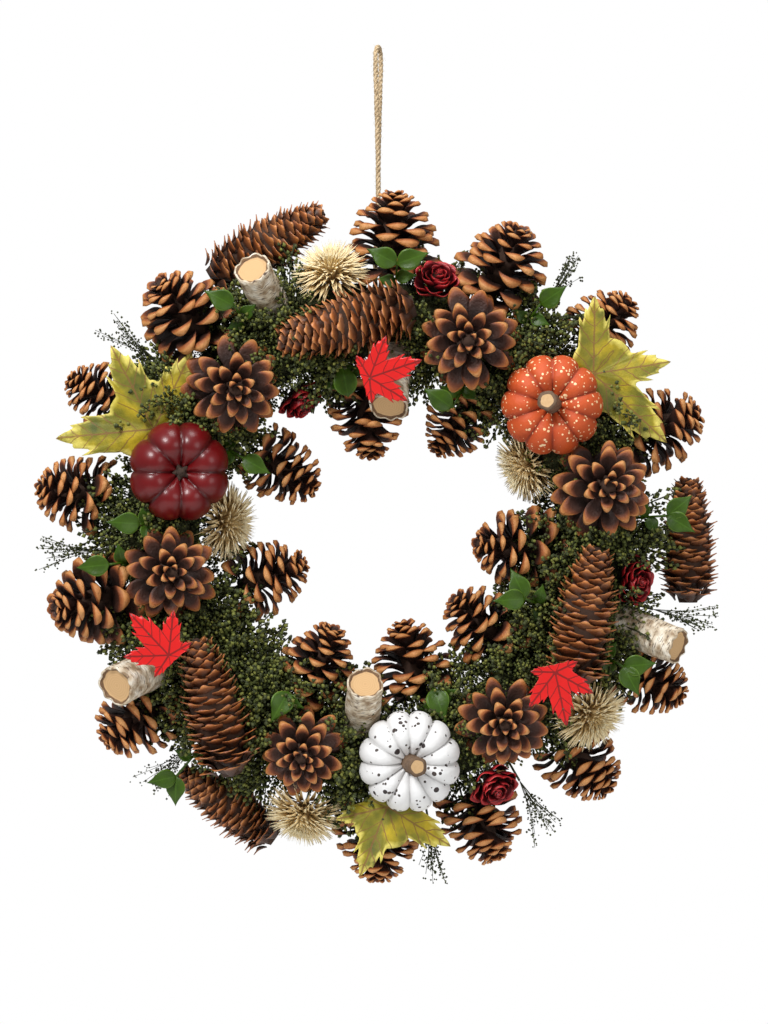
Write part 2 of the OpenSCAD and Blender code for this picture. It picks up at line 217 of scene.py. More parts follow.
floor_paint = finish_material("floor_paint", paint_floor, 0.9)
low, high = cad_box
floor_z, floor_far = low.z - FLOOR_DROP, high.y + FLOOR_BACK
floor_mesh = bpy.data.meshes.new("floor")
floor_mesh.from_pydata(
    [(-FLOOR_HALF, -FLOOR_HALF, floor_z), (FLOOR_HALF, -FLOOR_HALF, floor_z),
     (FLOOR_HALF, floor_far, floor_z), (-FLOOR_HALF, floor_far, floor_z)], [], [(0, 1, 2, 3)])
floor_mesh.materials.append(floor_paint)
floor = bpy.data.objects.new("floor", floor_mesh)
bpy.context.scene.collection.objects.link(floor)

# ---- Hanging twine ---------------------------------------------------------------------------
# One length of three-ply jute, doubled: it rises behind the top cone to the hook and comes down
# again, and its ends go twice round the straw and meet in a bight. It is made ply by ply, with
# loose hairs.

TWINE = 0.0025
TWINE_ROOM = 0.0003
TWIST_PITCH = 0.0085
HITCH_X = 0.0015
HITCH_START, HITCH_TURN, HITCH_STEPS = 90, 312, 26
PLIES, PLY_OUT, PLY_R = 3, 0.24, 0.29
TWINE_HAIRS = 420
ROUTE_MM = [
    (-1.5, 0, -140), (-1.5, 0, -132), (-1.5, 0, -122), (-1.5, 0.5, -112), (-1.2, 1, -102),
    (-0.7, 1.4, -92), (-0.2, 1.6, -80), (0, 1.6, -66), (0.2, 1.8, -52), (0.5, 2.4, -40),
    (0.8, 3.4, -28), (1.1, 4.2, -18), (1.3, 4.7, -10), (1.3, 4.8, -4), (1.1, 4.2, -1.5),
    (0.6, 2.4, 0.6), (0, 0, 1.3), (-0.6, -2.4, 0.6), (-1.1, -4.2, -1.5), (-1.3, -4.8, -4),
    (-1.3, -4.7, -10), (-1.1, -4.2, -18), (-0.8, -3.4, -28), (-0.5, -2.4, -40),
    (-0.2, -1.8, -52), (0, -1.6, -66), (0.2, -1.6, -80), (0.7, -1.4, -92), (1.2, -1, -102),
    (1.5, -0.5, -112), (1.5, 0, -122), (1.5, 0, -132), (1.5, 0, -140),
]

ring_low, ring_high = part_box("straw_ring")
RING_MIDDLE = (ring_low + ring_high) / 2
STRAW_R = (ring_high.y - ring_low.y) / 2
RING_R = (ring_high.x - ring_low.x) / 2 - STRAW_R


def make_piece(name, points, faces, materials, values=None, face_slots=None):
    """A mesh object in the scene, with its values as point attributes."""
    mesh = bpy.data.meshes.new(name)
    mesh.from_pydata([tuple(map(float, p)) for p in points], [], [tuple(map(int, f)) for f in faces])
    for key, numbers in (values or {}).items():
        mesh.attributes.new(key, "FLOAT", "POINT").data.foreach_set("value", np.asarray(numbers, float))
    for material in materials:
        mesh.materials.append(material)
    if face_slots is not None:
        mesh.polygons.foreach_set("material_index", np.asarray(face_slots, int))
    mesh.shade_smooth()
    mesh.update()
    piece = bpy.data.objects.new(name, mesh)
    bpy.context.scene.collection.objects.link(piece)
    return piece


def rides(piece, body, slot, *nodes):
    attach(piece, body)
    if nodes:
        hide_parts(*nodes)


def smooth_line(route, step):
    """A curve through the route's points, resampled so that its points are step apart."""
    route = np.array(route, float)
    ends = np.vstack([2 * route[0] - route[1], route, 2 * route[-1] - route[-2]])
    fine = []
    for a, b, c, d in zip(ends, ends[1:], ends[2:], ends[3:]):
        for t in np.linspace(0, 1, 12, endpoint=False):
            fine.append(0.5 * (2 * b + (c - a) * t + (2 * a - 5 * b + 4 * c - d) * t * t
                               + (3 * b - a - 3 * c + d) * t ** 3))
    fine = np.vstack([fine, route[-1]])
    run = np.concatenate([[0], np.cumsum(np.linalg.norm(np.diff(fine, axis=0), axis=1))])
    marks = np.linspace(0, run[-1], max(2, int(run[-1] / step)))
    return np.stack([np.interp(marks, run, fine[:, k]) for k in range(3)], 1)


def frames_along(line):
    """Side and up vectors that follow a line without spinning."""
    ahead = np.gradient(line, axis=0)
    ahead /= np.linalg.norm(ahead, axis=1)[:, None]
    side = np.cross(ahead[0], (0.3, 0.9, 0.2))
    sides = []
    for way in ahead:
        side = side - way * (side @ way)
        side /= np.linalg.norm(side)
        sides.append(side)
    sides = np.array(sides)
    return ahead, sides, np.cross(ahead, sides)


def tube_along(line, radii, corners):
    """Points and faces of a closed tube; radii has one number, or one row, for each of its rings."""
    _, side, up = frames_along(line)
    turn = np.arange(corners) * 2 * math.pi / corners
    ring = side[:, None] * np.cos(turn)[:, None] + up[:, None] * np.sin(turn)[:, None]
    width = np.asarray(radii, float)
    width = width[:, None] if width.ndim == 1 else width
    points = (line[:, None] + width[..., None] * ring).reshape(-1, 3)
    faces = []
    for i in range(len(line) - 1):
        for k in range(corners):
            n = (k + 1) % corners
            faces.append((i * corners + k, i * corners + n, (i + 1) * corners + n, (i + 1) * corners + k))
    last = (len(line) - 1) * corners
    faces.append(tuple(range(corners))[::-1])
    faces.append(tuple(last + k for k in range(corners)))
    return points, faces


class Heap:
    """Closed shapes gathered into one mesh, each with its values."""

    def __init__(self):
        self.points, self.faces, self.values, self.slots = [], [], {}, []
        self.count = 0

    def add(self, points, faces, slot=0, **values):
        self.points.append(np.asarray(points, float))
        self.faces += [tuple(i + self.count for i in face) for face in faces]
        self.slots += [slot] * len(faces)
        self.count += len(points)
        for key, number in values.items():
            spread = np.broadcast_to(np.asarray(number, float), (len(points),))
            self.values.setdefault(key, []).append(spread)

    def piece(self, name, *materials):
        values = {key: np.concatenate(rows) for key, rows in self.values.items()}
        return make_piece(name, np.vstack(self.points), self.faces, materials, values, self.slots)


def jute_colour(net):
    fibre = net.noise(0.0011, 5)
    return net.mix(net.noise(0.012), net.ramp(fibre, (0.3, (0.30, 0.20, 0.10)), (0.7, (0.72, 0.55, 0.34))),
                   net.ramp(fibre, (0.3, (0.42, 0.29, 0.15)), (0.7, (0.80, 0.64, 0.42))))


jute = finish_material("jute", jute_colour, 0.85, lambda net: net.noise(0.0005, 6), 0.0004)


def hitch_point(x, angle):
    radius = STRAW_R + TWINE_ROOM + TWINE / 2
    turn = math.radians(angle)
    return (x, RING_MIDDLE.y + radius * math.sin(turn), RING_MIDDLE.z + RING_R + radius * math.cos(turn))


hitch_angles = [HITCH_START + HITCH_TURN * k / HITCH_STEPS for k in range(1, HITCH_STEPS + 1)]
bight = (0, *hitch_point(0, HITCH_START + HITCH_TURN + 3)[1:])
twine_route = (
    [bight] + [hitch_point(-HITCH_X, a) for a in reversed(hitch_angles)]
    + [(x / 1000, y / 1000, z / 1000) for x, y, z in ROUTE_MM]
    + [hitch_point(HITCH_X, a) for a in hitch_angles] + [bight]
)
twine_line = smooth_line(twine_route, 0.0008)
twine_length = float(np.linalg.norm(np.diff(twine_line, axis=0), axis=1).sum())
ahead, side, up = frames_along(twine_line)
run = np.linspace(0, twine_length, len(twine_line))
twine_heap = Heap()
for ply in range(PLIES):
    turn = 2 * math.pi * (run / TWIST_PITCH + ply / PLIES)
    offset = side * np.cos(turn)[:, None] + up * np.sin(turn)[:, None]
    ply_line = twine_line + PLY_OUT * TWINE * offset
    swell = PLY_R * TWINE * (1 + 0.06 * np.sin(run / 0.0031 + ply))
    twine_heap.add(*tube_along(ply_line, swell, 6))
hair = np.random.default_rng(4)
for _ in range(TWINE_HAIRS):
    i = hair.integers(4, len(twine_line) - 4)
    turn = hair.uniform(0, 2 * math.pi)
    out = side[i] * math.cos(turn) + up[i] * math.sin(turn)
    reach = hair.uniform(0.0006, 0.0017)
    lean = ahead[i] * hair.uniform(-0.8, 0.8)
    root = twine_line[i] + out * TWINE * 0.42
    hair_line = np.array([root, root + (out + 0.5 * lean) * reach * 0.6, root + (out + 1.6 * lean) * reach])
    twine_heap.add(*tube_along(hair_line, [0.00005, 0.00004, 0.00002], 3))
hanging_twine = twine_heap.piece("hanging_twine", jute)
rides(hanging_twine, "hanger", "twine", "hanger_loop", "hanger_hitch")

# ---- Straw ring ------------------------------------------------------------------------------
# Rye straw laid in a long roll and wound into a ring under a twine binding. The solid core is the
# packed straw, and single stalks lie over it, which show from behind.

STALKS = 230
STALK_D = 0.0021
STALK_STEPS = 18


def ring_point(clock, stance, reach):
    """A point at a clock angle round the ring and a stance round the straw, all in degrees."""
    turn, tilt = math.radians(clock), math.radians(stance)
    out = RING_R + reach * math.cos(tilt)
    return (RING_MIDDLE.x + out * math.sin(turn), RING_MIDDLE.y - reach * math.sin(tilt),
            RING_MIDDLE.z + out * math.cos(turn))


def straw_colour(net):
    stalk = net.value("shade")
    return net.mix(net.noise(0.004, 4), net.ramp(stalk, (0, (0.42, 0.30, 0.12)), (1, (0.74, 0.60, 0.30))),
                   net.ramp(stalk, (0, (0.55, 0.42, 0.19)), (1, (0.84, 0.72, 0.42))))


def packed_colour(net):
    return net.mix(net.noise(0.002, 5), (0.20, 0.14, 0.06), (0.46, 0.35, 0.16))


straw = finish_material("straw", straw_colour, 0.55, lambda net: net.noise(0.0006, 4), 0.0002)
packed_straw = finish_material("packed_straw", packed_colour, 0.8, lambda net: net.noise(0.001, 5), 0.0008)
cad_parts["straw_ring"].material_slots[0].material = packed_straw

stalk_heap = Heap()
lay = np.random.default_rng(11)
for _ in range(STALKS):
    start, length = lay.uniform(0, 360), lay.uniform(35, 120)
    stance, drift = lay.uniform(0, 360), lay.uniform(-22, 22)
    reach = STRAW_R - lay.uniform(0.0001, 0.0009)
    steps = np.linspace(0, 1, STALK_STEPS)
    line = np.array([ring_point(start + length * t, stance + drift * t, reach) for t in steps])
    width = STALK_D / 2 * lay.uniform(0.7, 1.1) * np.clip(np.minimum(steps, 1 - steps) * 14 + 0.35, 0, 1)
    stalk_heap.add(*tube_along(line, width, 5), shade=lay.uniform(0, 1))
straw_stalks = stalk_heap.piece("straw_stalks", straw)
rides(straw_stalks, "wreath", "straw")

# ---- Binding ---------------------------------------------------------------------------------
# Thin jute wound round the straw to hold the roll together. Its turns are the frame's own; only
# the finish is added.

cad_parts["ring_binding"].material_slots[0].material = jute

# ---- Wire picks ------------------------------------------------------------------------------
# Green lacquered florist wire: one end is twisted round a piece, the other is pushed into the
# straw.


def wire_colour(net):
    return net.mix(net.noise(0.003), (0.02, 0.035, 0.015), (0.06, 0.075, 0.03))


pick_wire = finish_material("pick_wire", wire_colour, 0.4, Metallic=0.3)
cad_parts["wire_picks"].material_slots[0].material = pick_wire

# ---- Moss ------------------------------------------------------------------------------------
# Dried moss and seed heads glued over the front of the straw, with thicker tufts between the
# pieces. Small sprigs of beads stand all over a thin mat and over each tuft; each sprig's beads are
# painted lighter towards its top, as painted light, and darker low down, as painted shade.

SPRIG_H = 0.0085
BEAD_R = 0.00072
TALL_H = 0.021
MAT_SPRIGS, TUFT_SPRIGS, TALL_STEMS = 3000, 90, 1150
# The mat is open for some degrees beside the loop, and wraps the straw between two stances.
MAT_OPEN, MAT_FROM, MAT_TO = 6, -28, 208
MAT_CLOCKS, MAT_STANCES, MAT_SINK = 90, 22, 0.0002
BACK_CLEAR = 0.003


def solid_parts(node):
    """The separate solids of a CAD node, each as points and triangles."""
    copy = bmesh.new()
    copy.from_mesh(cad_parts[node].data)
    bmesh.ops.remove_doubles(copy, verts=copy.verts, dist=1e-6)
    bmesh.ops.triangulate(copy, faces=copy.faces)
    copy.verts.index_update()
    group = {}
    for first in copy.verts:
        if first.index in group:
            continue
        stack = [first]
        group[first.index] = first.index
        while stack:
            for edge in stack.pop().link_edges:
                for vert in edge.verts:
                    if vert.index not in group:
                        group[vert.index] = first.index
                        stack.append(vert)
    points = np.array([v.co for v in copy.verts])
    triangles = np.array([[v.index for v in f.verts] for f in copy.faces])
    copy.free()
    owner = np.array([group[i] for i in range(len(points))])
    parts = []
    for key in sorted(set(owner)):
        keep = np.flatnonzero(owner == key)
        renumber = -np.ones(len(points), int)
        renumber[keep] = np.arange(len(keep))
        parts.append((points[keep], renumber[triangles[owner[triangles[:, 0]] == key]]))
    return parts


def middle_of(points, triangles):
    """The centre of a closed solid's volume."""
    a, b, c = (points[triangles[:, k]] for k in range(3))
    weight = np.einsum("ij,ij->i", a, np.cross(b, c))
    return ((a + b + c) / 4 * weight[:, None]).sum(0) / weight.sum()


def straw_distance(points):
    """How far each point is from the straw's middle line."""
    out = np.hypot(points[:, 0] - RING_MIDDLE.x, points[:, 2] - RING_MIDDLE.z) - RING_R
    return np.hypot(out, points[:, 1] - RING_MIDDLE.y)


def straw_foot(place):
    """The point of the straw's middle line that is nearest to a place."""
    out = Vector((place[0] - RING_MIDDLE.x, 0, place[2] - RING_MIDDLE.z)).normalized()
    return RING_MIDDLE + out * RING_R


def axes_along(way, foot, near=(0, 0, 1)):
    """A matrix whose Z runs along way from foot, and whose X is kept near to a direction."""
    z = Vector(way).normalized()
    x = Vector(near) - z * Vector(near).dot(z)
    if x.length < 0.1:
        x = Vector((1, 0, 0)) - z * z.x
    x.normalize()
    turn = Matrix((x, z.cross(x), z)).transposed()
    return Matrix.Translation(foot) @ turn.to_4x4()


def standing(points, triangles):
    """How a piece stands on its pick: its axes at the foot, its height and its greatest radius."""
    middle = middle_of(points, triangles)
    start = straw_foot(middle)
    way = (Vector(middle) - start).normalized()
    along = (points - np.array(start)) @ np.array(way)
    aside = np.linalg.norm(points - np.array(start) - along[:, None] * np.array(way), axis=1)
    return axes_along(way, start + way * along.min()), float(along.max() - along.min()), float(aside.max())


def link_group(tree, *sockets):
    """Named inputs of a geometry tree, with its geometry in and out. Returns their identifiers."""
    tree.interface.new_socket("Geometry", in_out="OUTPUT", socket_type="NodeSocketGeometry")
    tree.interface.new_socket("Geometry", in_out="INPUT", socket_type="NodeSocketGeometry")
    names = {}
    for name, kind in sockets:
        item = tree.interface.new_socket(name, in_out="INPUT", socket_type="NodeSocket" + kind)
        names[name] = item.identifier
    return names


def grown(base, tree, names, **inputs):
    """The mesh that a geometry tree makes of the base object, as a plain mesh."""
    modifier = base.modifiers.new("growth", "NODES")
    modifier.node_group = tree
    for key, value in inputs.items():
        modifier[names[key.replace("_", " ")]] = value
    bpy.context.view_layer.update()
    evaluated = base.evaluated_get(bpy.context.evaluated_depsgraph_get())
    mesh = bpy.data.meshes.new_from_object(evaluated)
    base.modifiers.remove(modifier)
    return mesh


def bead(centre, radius, stretch=1.0):
    """An eight-sided bead."""
    x, y, z = centre
    points = [(x + radius, y, z), (x - radius, y, z), (x, y + radius, z), (x, y - radius, z),
              (x, y, z + radius * stretch), (x, y, z - radius * stretch)]
    faces = [(0, 2, 4), (2, 1, 4), (1, 3, 4), (3, 0, 4), (2, 0, 5), (1, 2, 5), (3, 1, 5), (0, 3, 5)]
    return points, faces


def moss_colour(net):
    # The ramp runs from near black to a pale yellow-green that is a painted highlight. On the short sprigs
    # the value rises with a bead's height, so top beads carry painted light and low ones painted shade; on
    # the tall stems and the sprays it is a random tone.
    beads = net.ramp(net.value("shade"), (0.0, (0.012, 0.016, 0.004)), (0.45, (0.035, 0.05, 0.010)),
                     (0.8, (0.12, 0.15, 0.022)), (1.0, (0.36, 0.36, 0.06)))
    return net.mix(net.noise(0.01, 3) * 0.7, beads, (0.05, 0.055, 0.015))


def moss_mat_colour(net):
    return net.mix(net.noise(0.0012, 5), (0.015, 0.017, 0.006), (0.09, 0.10, 0.03))


moss = finish_material("moss", moss_colour, 0.75)
moss_felt = finish_material("moss_felt", moss_mat_colour, 0.95, lambda net: net.noise(0.0009, 6), 0.0012)
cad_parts["moss_mat"].material_slots[0].material = moss_felt

sprig_heap = Heap()
pick_bead = np.random.default_rng(2)
sprig_line = np.array([(0, 0, -0.001), (0.0002, 0, SPRIG_H * 0.5), (0, 0.0003, SPRIG_H * 0.9)])
sprig_heap.add(*tube_along(sprig_line, [0.00025, 0.0002, 0.00015], 3), shade=0.1)
# Each bead up the sprig gets a higher value and so is painted lighter: painted light on top, painted shade
# below.
for k in range(6):
    lift = SPRIG_H * (0.35 + 0.13 * k)
    turn = k * 2.4
    aside = 0.0014 * (1 - 0.12 * k)
    sprig_heap.add(*bead((aside * math.cos(turn), aside * math.sin(turn), lift),
                         BEAD_R * pick_bead.uniform(0.8, 1.2), 1.2), shade=0.25 + 0.13 * k)
moss_sprig = sprig_heap.piece("moss_sprig", moss)

# Taller stems stand up between the pieces, with beads set round them over their upper half.
stem_heap = Heap()
stem_line = smooth_line([(0, 0, -0.001), (0.0015, 0, TALL_H * 0.5), (0, 0.001, TALL_H)], TALL_H / 5)
stem_heap.add(*tube_along(stem_line, [0.0003] * len(stem_line), 3), shade=0.1)
for k in range(15):
    lift = TALL_H * (0.35 + 0.65 * k / 15)
    aside = 0.0034 * (1.15 - k / 15)
    turn = k * 2.4
    stem_heap.add(*bead((aside * math.cos(turn), aside * math.sin(turn), lift),
                        BEAD_R * pick_bead.uniform(0.9, 1.5), 1.2), shade=pick_bead.uniform(0.15, 1.0))
moss_stem = stem_heap.piece("moss_stem", moss)

moss_tree = bpy.data.node_groups.new("moss_growth", "GeometryNodeTree")
moss_inputs = link_group(
    moss_tree, ("Sprig", "Object"), ("Count", "Int"), ("Lean", "Float"), ("Smallest", "Float"),
    ("Largest", "Float"), ("Seed", "Int"), ("Finish", "Material"))
net = Net(moss_tree)
inputs = net.tree.nodes.new("NodeGroupInput")


def given(name):
    return Wire(net, inputs.outputs[name])


def random_between(lowest, highest, seed):
    return net.node("FunctionNodeRandomValue", {"data_type": "FLOAT"},
                    {2: lowest, 3: highest, "Seed": seed}, 1)


surface_area = net.node("GeometryNodeAttributeStatistic", {"domain": "FACE"},
                        {"Geometry": given("Geometry"), 2: net.node("GeometryNodeInputMeshFaceArea")}, "Sum")
scatter = net.node("GeometryNodeDistributePointsOnFaces", None, {
    "Mesh": given("Geometry"), "Density": given("Count") / surface_area, "Seed": given("Seed")})
away = Wire(net, scatter.socket.node.outputs["Rotation"])
lean = given("Lean")
tip_over = net.node("ShaderNodeCombineXYZ", None, {
    0: lean * random_between(-1.0, 1.0, given("Seed") + 1),
    1: lean * random_between(-1.0, 1.0, given("Seed") + 2),
    2: random_between(0.0, 6.28, given("Seed") + 3)})
stance = net.node("FunctionNodeRotateRotation", {"rotation_space": "LOCAL"}, {
    0: away, 1: net.node("FunctionNodeEulerToRotation", None, {0: tip_over})})
sprig_shape = net.node("GeometryNodeObjectInfo", None, {"Object": given("Sprig")}, "Geometry")
sprigs = net.node("GeometryNodeInstanceOnPoints", None, {
    "Points": scatter, "Instance": sprig_shape, "Rotation": stance,
    "Scale": random_between(given("Smallest"), given("Largest"), given("Seed") + 4)})
real_sprigs = net.node("GeometryNodeRealizeInstances", None, {"Geometry": sprigs})
plain = net.node("GeometryNodeSetMaterial", None, {"Geometry": real_sprigs, "Material": given("Finish")})
net.node("NodeGroupOutput", None, {"Geometry": plain})

mat_reach = RING_MIDDLE.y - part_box("moss_mat")[0].y
mat_points, mat_faces = [], []
clocks = np.linspace(MAT_OPEN, 360 - MAT_OPEN, MAT_CLOCKS)
stances = np.linspace(MAT_FROM, MAT_TO, MAT_STANCES)
for clock in clocks:
    for stance_at in stances:
        mat_points.append(ring_point(clock, stance_at, mat_reach - MAT_SINK))
for i in range(len(clocks) - 1):
    for k in range(len(stances) - 1):
        a = i * len(stances) + k
        mat_faces.append((a, a + 1, a + len(stances) + 1, a + len(stances)))
mat_base = make_piece("mat_base", mat_points, mat_faces, [])
bpy.context.view_layer.update()
first_face = mat_base.data.polygons[0]
if first_face.normal.dot(first_face.center - straw_foot(first_face.center)) < 0:
    mat_base.data.flip_normals()
mat_mesh = grown(mat_base, moss_tree, moss_inputs, Sprig=moss_sprig, Count=MAT_SPRIGS, Lean=0.5,
                 Smallest=0.7, Largest=1.35, Seed=5, Finish=moss)
moss_cover = bpy.data.objects.new("moss_cover", mat_mesh)
bpy.context.scene.collection.objects.link(moss_cover)
rides(moss_cover, "wreath", "moss")

# No tall stems grow under the low pieces, where they would come up through them, or at the back,
# where they would meet the door.
low_nodes = [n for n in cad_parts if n.startswith(("straw_flower_", "pumpkin_", "pine_cone_face_"))]
low_pieces = [standing(*solid_parts(n)[0]) for n in low_nodes if n != "pumpkin_stems"]
low_pieces += [standing(*solid) for solid in solid_parts("rose_cones")]
back_from = RING_MIDDLE.y - BACK_CLEAR
opened = bmesh.new()
opened.from_mesh(mat_base.data)
hidden_faces = [face for face in opened.faces if face.calc_center_median().y > back_from]
for face in set(opened.faces) - set(hidden_faces):
    spots = [(place.inverted() @ face.calc_center_median(), radius) for place, _, radius in low_pieces]
    if any(math.hypot(spot.x, spot.y) < radius * 0.9 and spot.z > -0.03 for spot, radius in spots):
        hidden_faces.append(face)
bmesh.ops.delete(opened, geom=hidden_faces, context="FACES")
opened.to_mesh(mat_base.data)
opened.free()
for number in (1, 2):
    tall_mesh = grown(mat_base, moss_tree, moss_inputs, Sprig=moss_stem, Count=TALL_STEMS, Lean=0.55,
                      Smallest=0.6, Largest=1.45, Seed=23 * number, Finish=moss)
    tall_moss = bpy.data.objects.new(f"moss_stems_{number}", tall_mesh)
    bpy.context.scene.collection.objects.link(tall_moss)
    rides(tall_moss, "wreath", "moss")
bpy.data.objects.remove(mat_base)

tufts = solid_parts("moss_tufts")
tuft_domes = Heap()
for points, triangles in tufts:
    tuft_domes.add(points, triangles)
tuft_base = tuft_domes.piece("tuft_base", moss_felt)
tuft_mesh = grown(tuft_base, moss_tree, moss_inputs, Sprig=moss_sprig,
                  Count=TUFT_SPRIGS * len(tufts), Lean=0.6, Smallest=0.6, Largest=1.1, Seed=9,
                  Finish=moss)
tuft_sprigs = bpy.data.objects.new("moss_tuft_sprigs", tuft_mesh)
bpy.context.scene.collection.objects.link(tuft_sprigs)
rides(tuft_sprigs, "wreath", "moss")
bpy.data.objects.remove(tuft_base)
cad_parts["moss_tufts"].material_slots[0].material = moss_felt
for pattern in (moss_sprig, moss_stem):
    bpy.data.objects.remove(pattern)

# ---- Pine cones ------------------------------------------------------------------------------
# Natural open cones, each on its own pick. Woody scales grow in a spiral from a dark core: thin at
# the root, with a thick rim that is orange brown outside. Each scale is painted near black towards its
# root, as painted shade deep inside the cone, and pale at its edge, the rim's own paler colour with a
# painted highlight.

GOLDEN = 137.508


def blade(along_steps, across_steps, half_width, rise, thick, cup):
    """A closed scale along +X with its root at the origin. half_width, rise and thick are functions
    of the share of its length; cup bends its sides up. Gives points, faces and two values."""
    points, along, across = [], [], []
    for face in (1, -1):
        for i in range(along_steps + 1):
            t = i / along_steps
            for k in range(across_steps + 1):
                s = 2 * k / across_steps - 1
                edge = 1 - s * s * 0.9
                points.append((t - 0.20 * s * s * t, half_width(t) * s,
                               rise(t) + cup * s * s * half_width(t) + face * thick(t) * edge / 2))
                along.append(t)
                across.append(abs(s))
    row, sheet_size = across_steps + 1, (along_steps + 1) * (across_steps + 1)
    faces = []
    for i in range(along_steps):
        for k in range(across_steps):
            a = i * row + k
            faces.append((a, a + row, a + row + 1, a + 1))
            faces.append(tuple(sheet_size + n for n in (a, a + 1, a + row + 1, a + row)))
    tip_row = along_steps * row
    border = [(i * row, (i + 1) * row) for i in range(along_steps)]
    border += [(tip_row + k, tip_row + k + 1) for k in range(across_steps)]
    border += [(i * row + row - 1, i * row - 1) for i in reversed(range(1, along_steps + 1))]
    border += [(k + 1, k) for k in reversed(range(across_steps))]
    faces += [(b, a, a + sheet_size, b + sheet_size) for a, b in border]
    return np.array(points), faces, np.array(along), np.array(across)


def scale_piece(name, blade_parts):
    points, faces, along, across = blade_parts
    piece = make_piece(name, points, faces, [], {"along": along, "across": across})
    check = bmesh.new()
    check.from_mesh(piece.data)
    bmesh.ops.recalc_face_normals(check, faces=check.faces)
    check.to_mesh(piece.data)
    check.free()
    return piece


def turned(profile, corners=24):
    """A closed solid of revolution about Z from (radius, height) pairs."""
    points, faces = [], []
    for radius, height in profile:
        for k in range(corners):
            turn = 2 * math.pi * k / corners
            points.append((radius * math.cos(turn), radius * math.sin(turn), height))
    for i in range(len(profile) - 1):
        for k in range(corners):
            n = (k + 1) % corners
            faces.append((i * corners + k, i * corners + n, (i + 1) * corners + n, (i + 1) * corners + k))
    faces.append(tuple(range(corners))[::-1])
    faces.append(tuple((len(profile) - 1) * corners + k for k in range(corners)))
    return np.array(points), faces


spiral_tree = bpy.data.node_groups.new("spiral_of_scales", "GeometryNodeTree")
spiral_inputs = link_group(
    spiral_tree, ("Scale", "Object"), ("Scales", "Int"), ("Height", "Float"), ("Core", "Float"),
    ("Reach", "Float"), ("Widest", "Float"), ("Foot tilt", "Float"), ("Tip tilt", "Float"),
    ("Bend", "Float"), ("Tip size", "Float"), ("Crowding", "Float"), ("Seed", "Int"), ("Finish", "Material"))
net = Net(spiral_tree)
inputs = net.tree.nodes.new("NodeGroupInput")
index = net.node("GeometryNodeInputIndex")
share = (index + 0.5) / given("Scales")
# Scales stand closer together towards the tip, where they are smaller.
level = share ** given("Crowding")
from_widest = level - given("Widest")
roundness = net.node("ShaderNodeMath", {"operation": "MAXIMUM"}, {
    0: 1 - from_widest * from_widest * 2.2, 1: 0.02})
fullness = net.node("ShaderNodeMath", {"operation": "SQRT"}, {0: roundness})
turn = index * math.radians(GOLDEN) + random_between(-0.20, 0.20, given("Seed"))
core = given("Core") * fullness
place = net.node("ShaderNodeCombineXYZ", None, {
    0: core * net.node("ShaderNodeMath", {"operation": "COSINE"}, {0: turn}),
    1: core * net.node("ShaderNodeMath", {"operation": "SINE"}, {0: turn}),
    2: given("Height") * level})
tilt = given("Foot tilt") + (given("Tip tilt") - given("Foot tilt")) * level ** given("Bend")
facing = net.node("ShaderNodeCombineXYZ", None, {
    0: random_between(-0.12, 0.12, given("Seed") + 1),
    1: tilt - math.pi / 2 + random_between(-0.19, 0.19, given("Seed") + 2), 2: turn})
size = (given("Reach") * (fullness * 0.55 + 0.45) * (1 - (1 - given("Tip size")) * level * level)
        * random_between(0.92, 1.06, given("Seed") + 3))
points = net.node("GeometryNodePoints", None, {"Count": given("Scales"), "Position": place})
scale_shape = net.node("GeometryNodeObjectInfo", None, {"Object": given("Scale")}, "Geometry")
grown_scales = net.node("GeometryNodeInstanceOnPoints", None, {
    "Points": points, "Instance": scale_shape,
    "Rotation": net.node("FunctionNodeEulerToRotation", None, {0: facing}), "Scale": size})
tinted = net.node("GeometryNodeStoreNamedAttribute", {"data_type": "FLOAT", "domain": "INSTANCE"}, {
    "Geometry": grown_scales, "Name": "tint", "Value": random_between(0.0, 1.0, given("Seed") + 4)})
levelled = net.node("GeometryNodeStoreNamedAttribute", {"data_type": "FLOAT", "domain": "INSTANCE"}, {
    "Geometry": tinted, "Name": "level", "Value": share})
real_scales = net.node("GeometryNodeRealizeInstances", None, {"Geometry": levelled})
plain = net.node("GeometryNodeSetMaterial", None, {"Geometry": real_scales, "Material": given("Finish")})
joined = net.node("GeometryNodeJoinGeometry", None, {0: plain})
net.tree.links.new(inputs.outputs["Geometry"], joined.socket.node.inputs[0])
net.node("NodeGroupOutput", None, {"Geometry": joined})


def pine_width(t):
    grown_width = 0.08 + 0.26 * math.sin(min(t / 0.76, 1) * math.pi / 2) ** 1.5
    return grown_width * math.sqrt(1 - (max(t - 0.76, 0) / 0.42) ** 2)


def open_width(t):
    return pine_width(t) * 0.70


def pine_rise(t):
    return 0.16 * math.sin(t * math.pi * 0.75) - 0.10 * max(t - 0.7, 0)


def pine_thick(t):
    return 0.05 + 0.19 * max(0, 1 - abs(t - 0.90) / 0.22)


def pine_colour(net):
    along, tint = net.value("along"), net.value("tint")
    # Near black at the root is painted shade deep in the cone; the pale last stops are the rim's own colour
    # with a painted highlight.
    brown_with_painted_light = net.ramp(along, (0.45, (0.009, 0.003, 0.002)), (0.74, (0.045, 0.013, 0.006)),
                     (0.86, (0.17, 0.036, 0.007)), (0.95, (0.40, 0.115, 0.020)), (1.0, (0.60, 0.235, 0.060)))
    paler_with_painted_light = net.ramp(along, (0.45, (0.013, 0.005, 0.003)), (0.74, (0.065, 0.020, 0.009)),
                     (0.86, (0.25, 0.060, 0.012)), (0.95, (0.54, 0.18, 0.038)), (1.0, (0.74, 0.36, 0.12)))
    streaked = net.mix(tint * 0.9, brown_with_painted_light, paler_with_painted_light)
    return net.mix(net.noise(0.0035, 5) * 0.50, streaked, (0.055, 0.014, 0.005))


pine_finish = finish_material("pine_cone", pine_colour, 0.6, lambda net: net.noise(0.0012, 5), 0.0005)


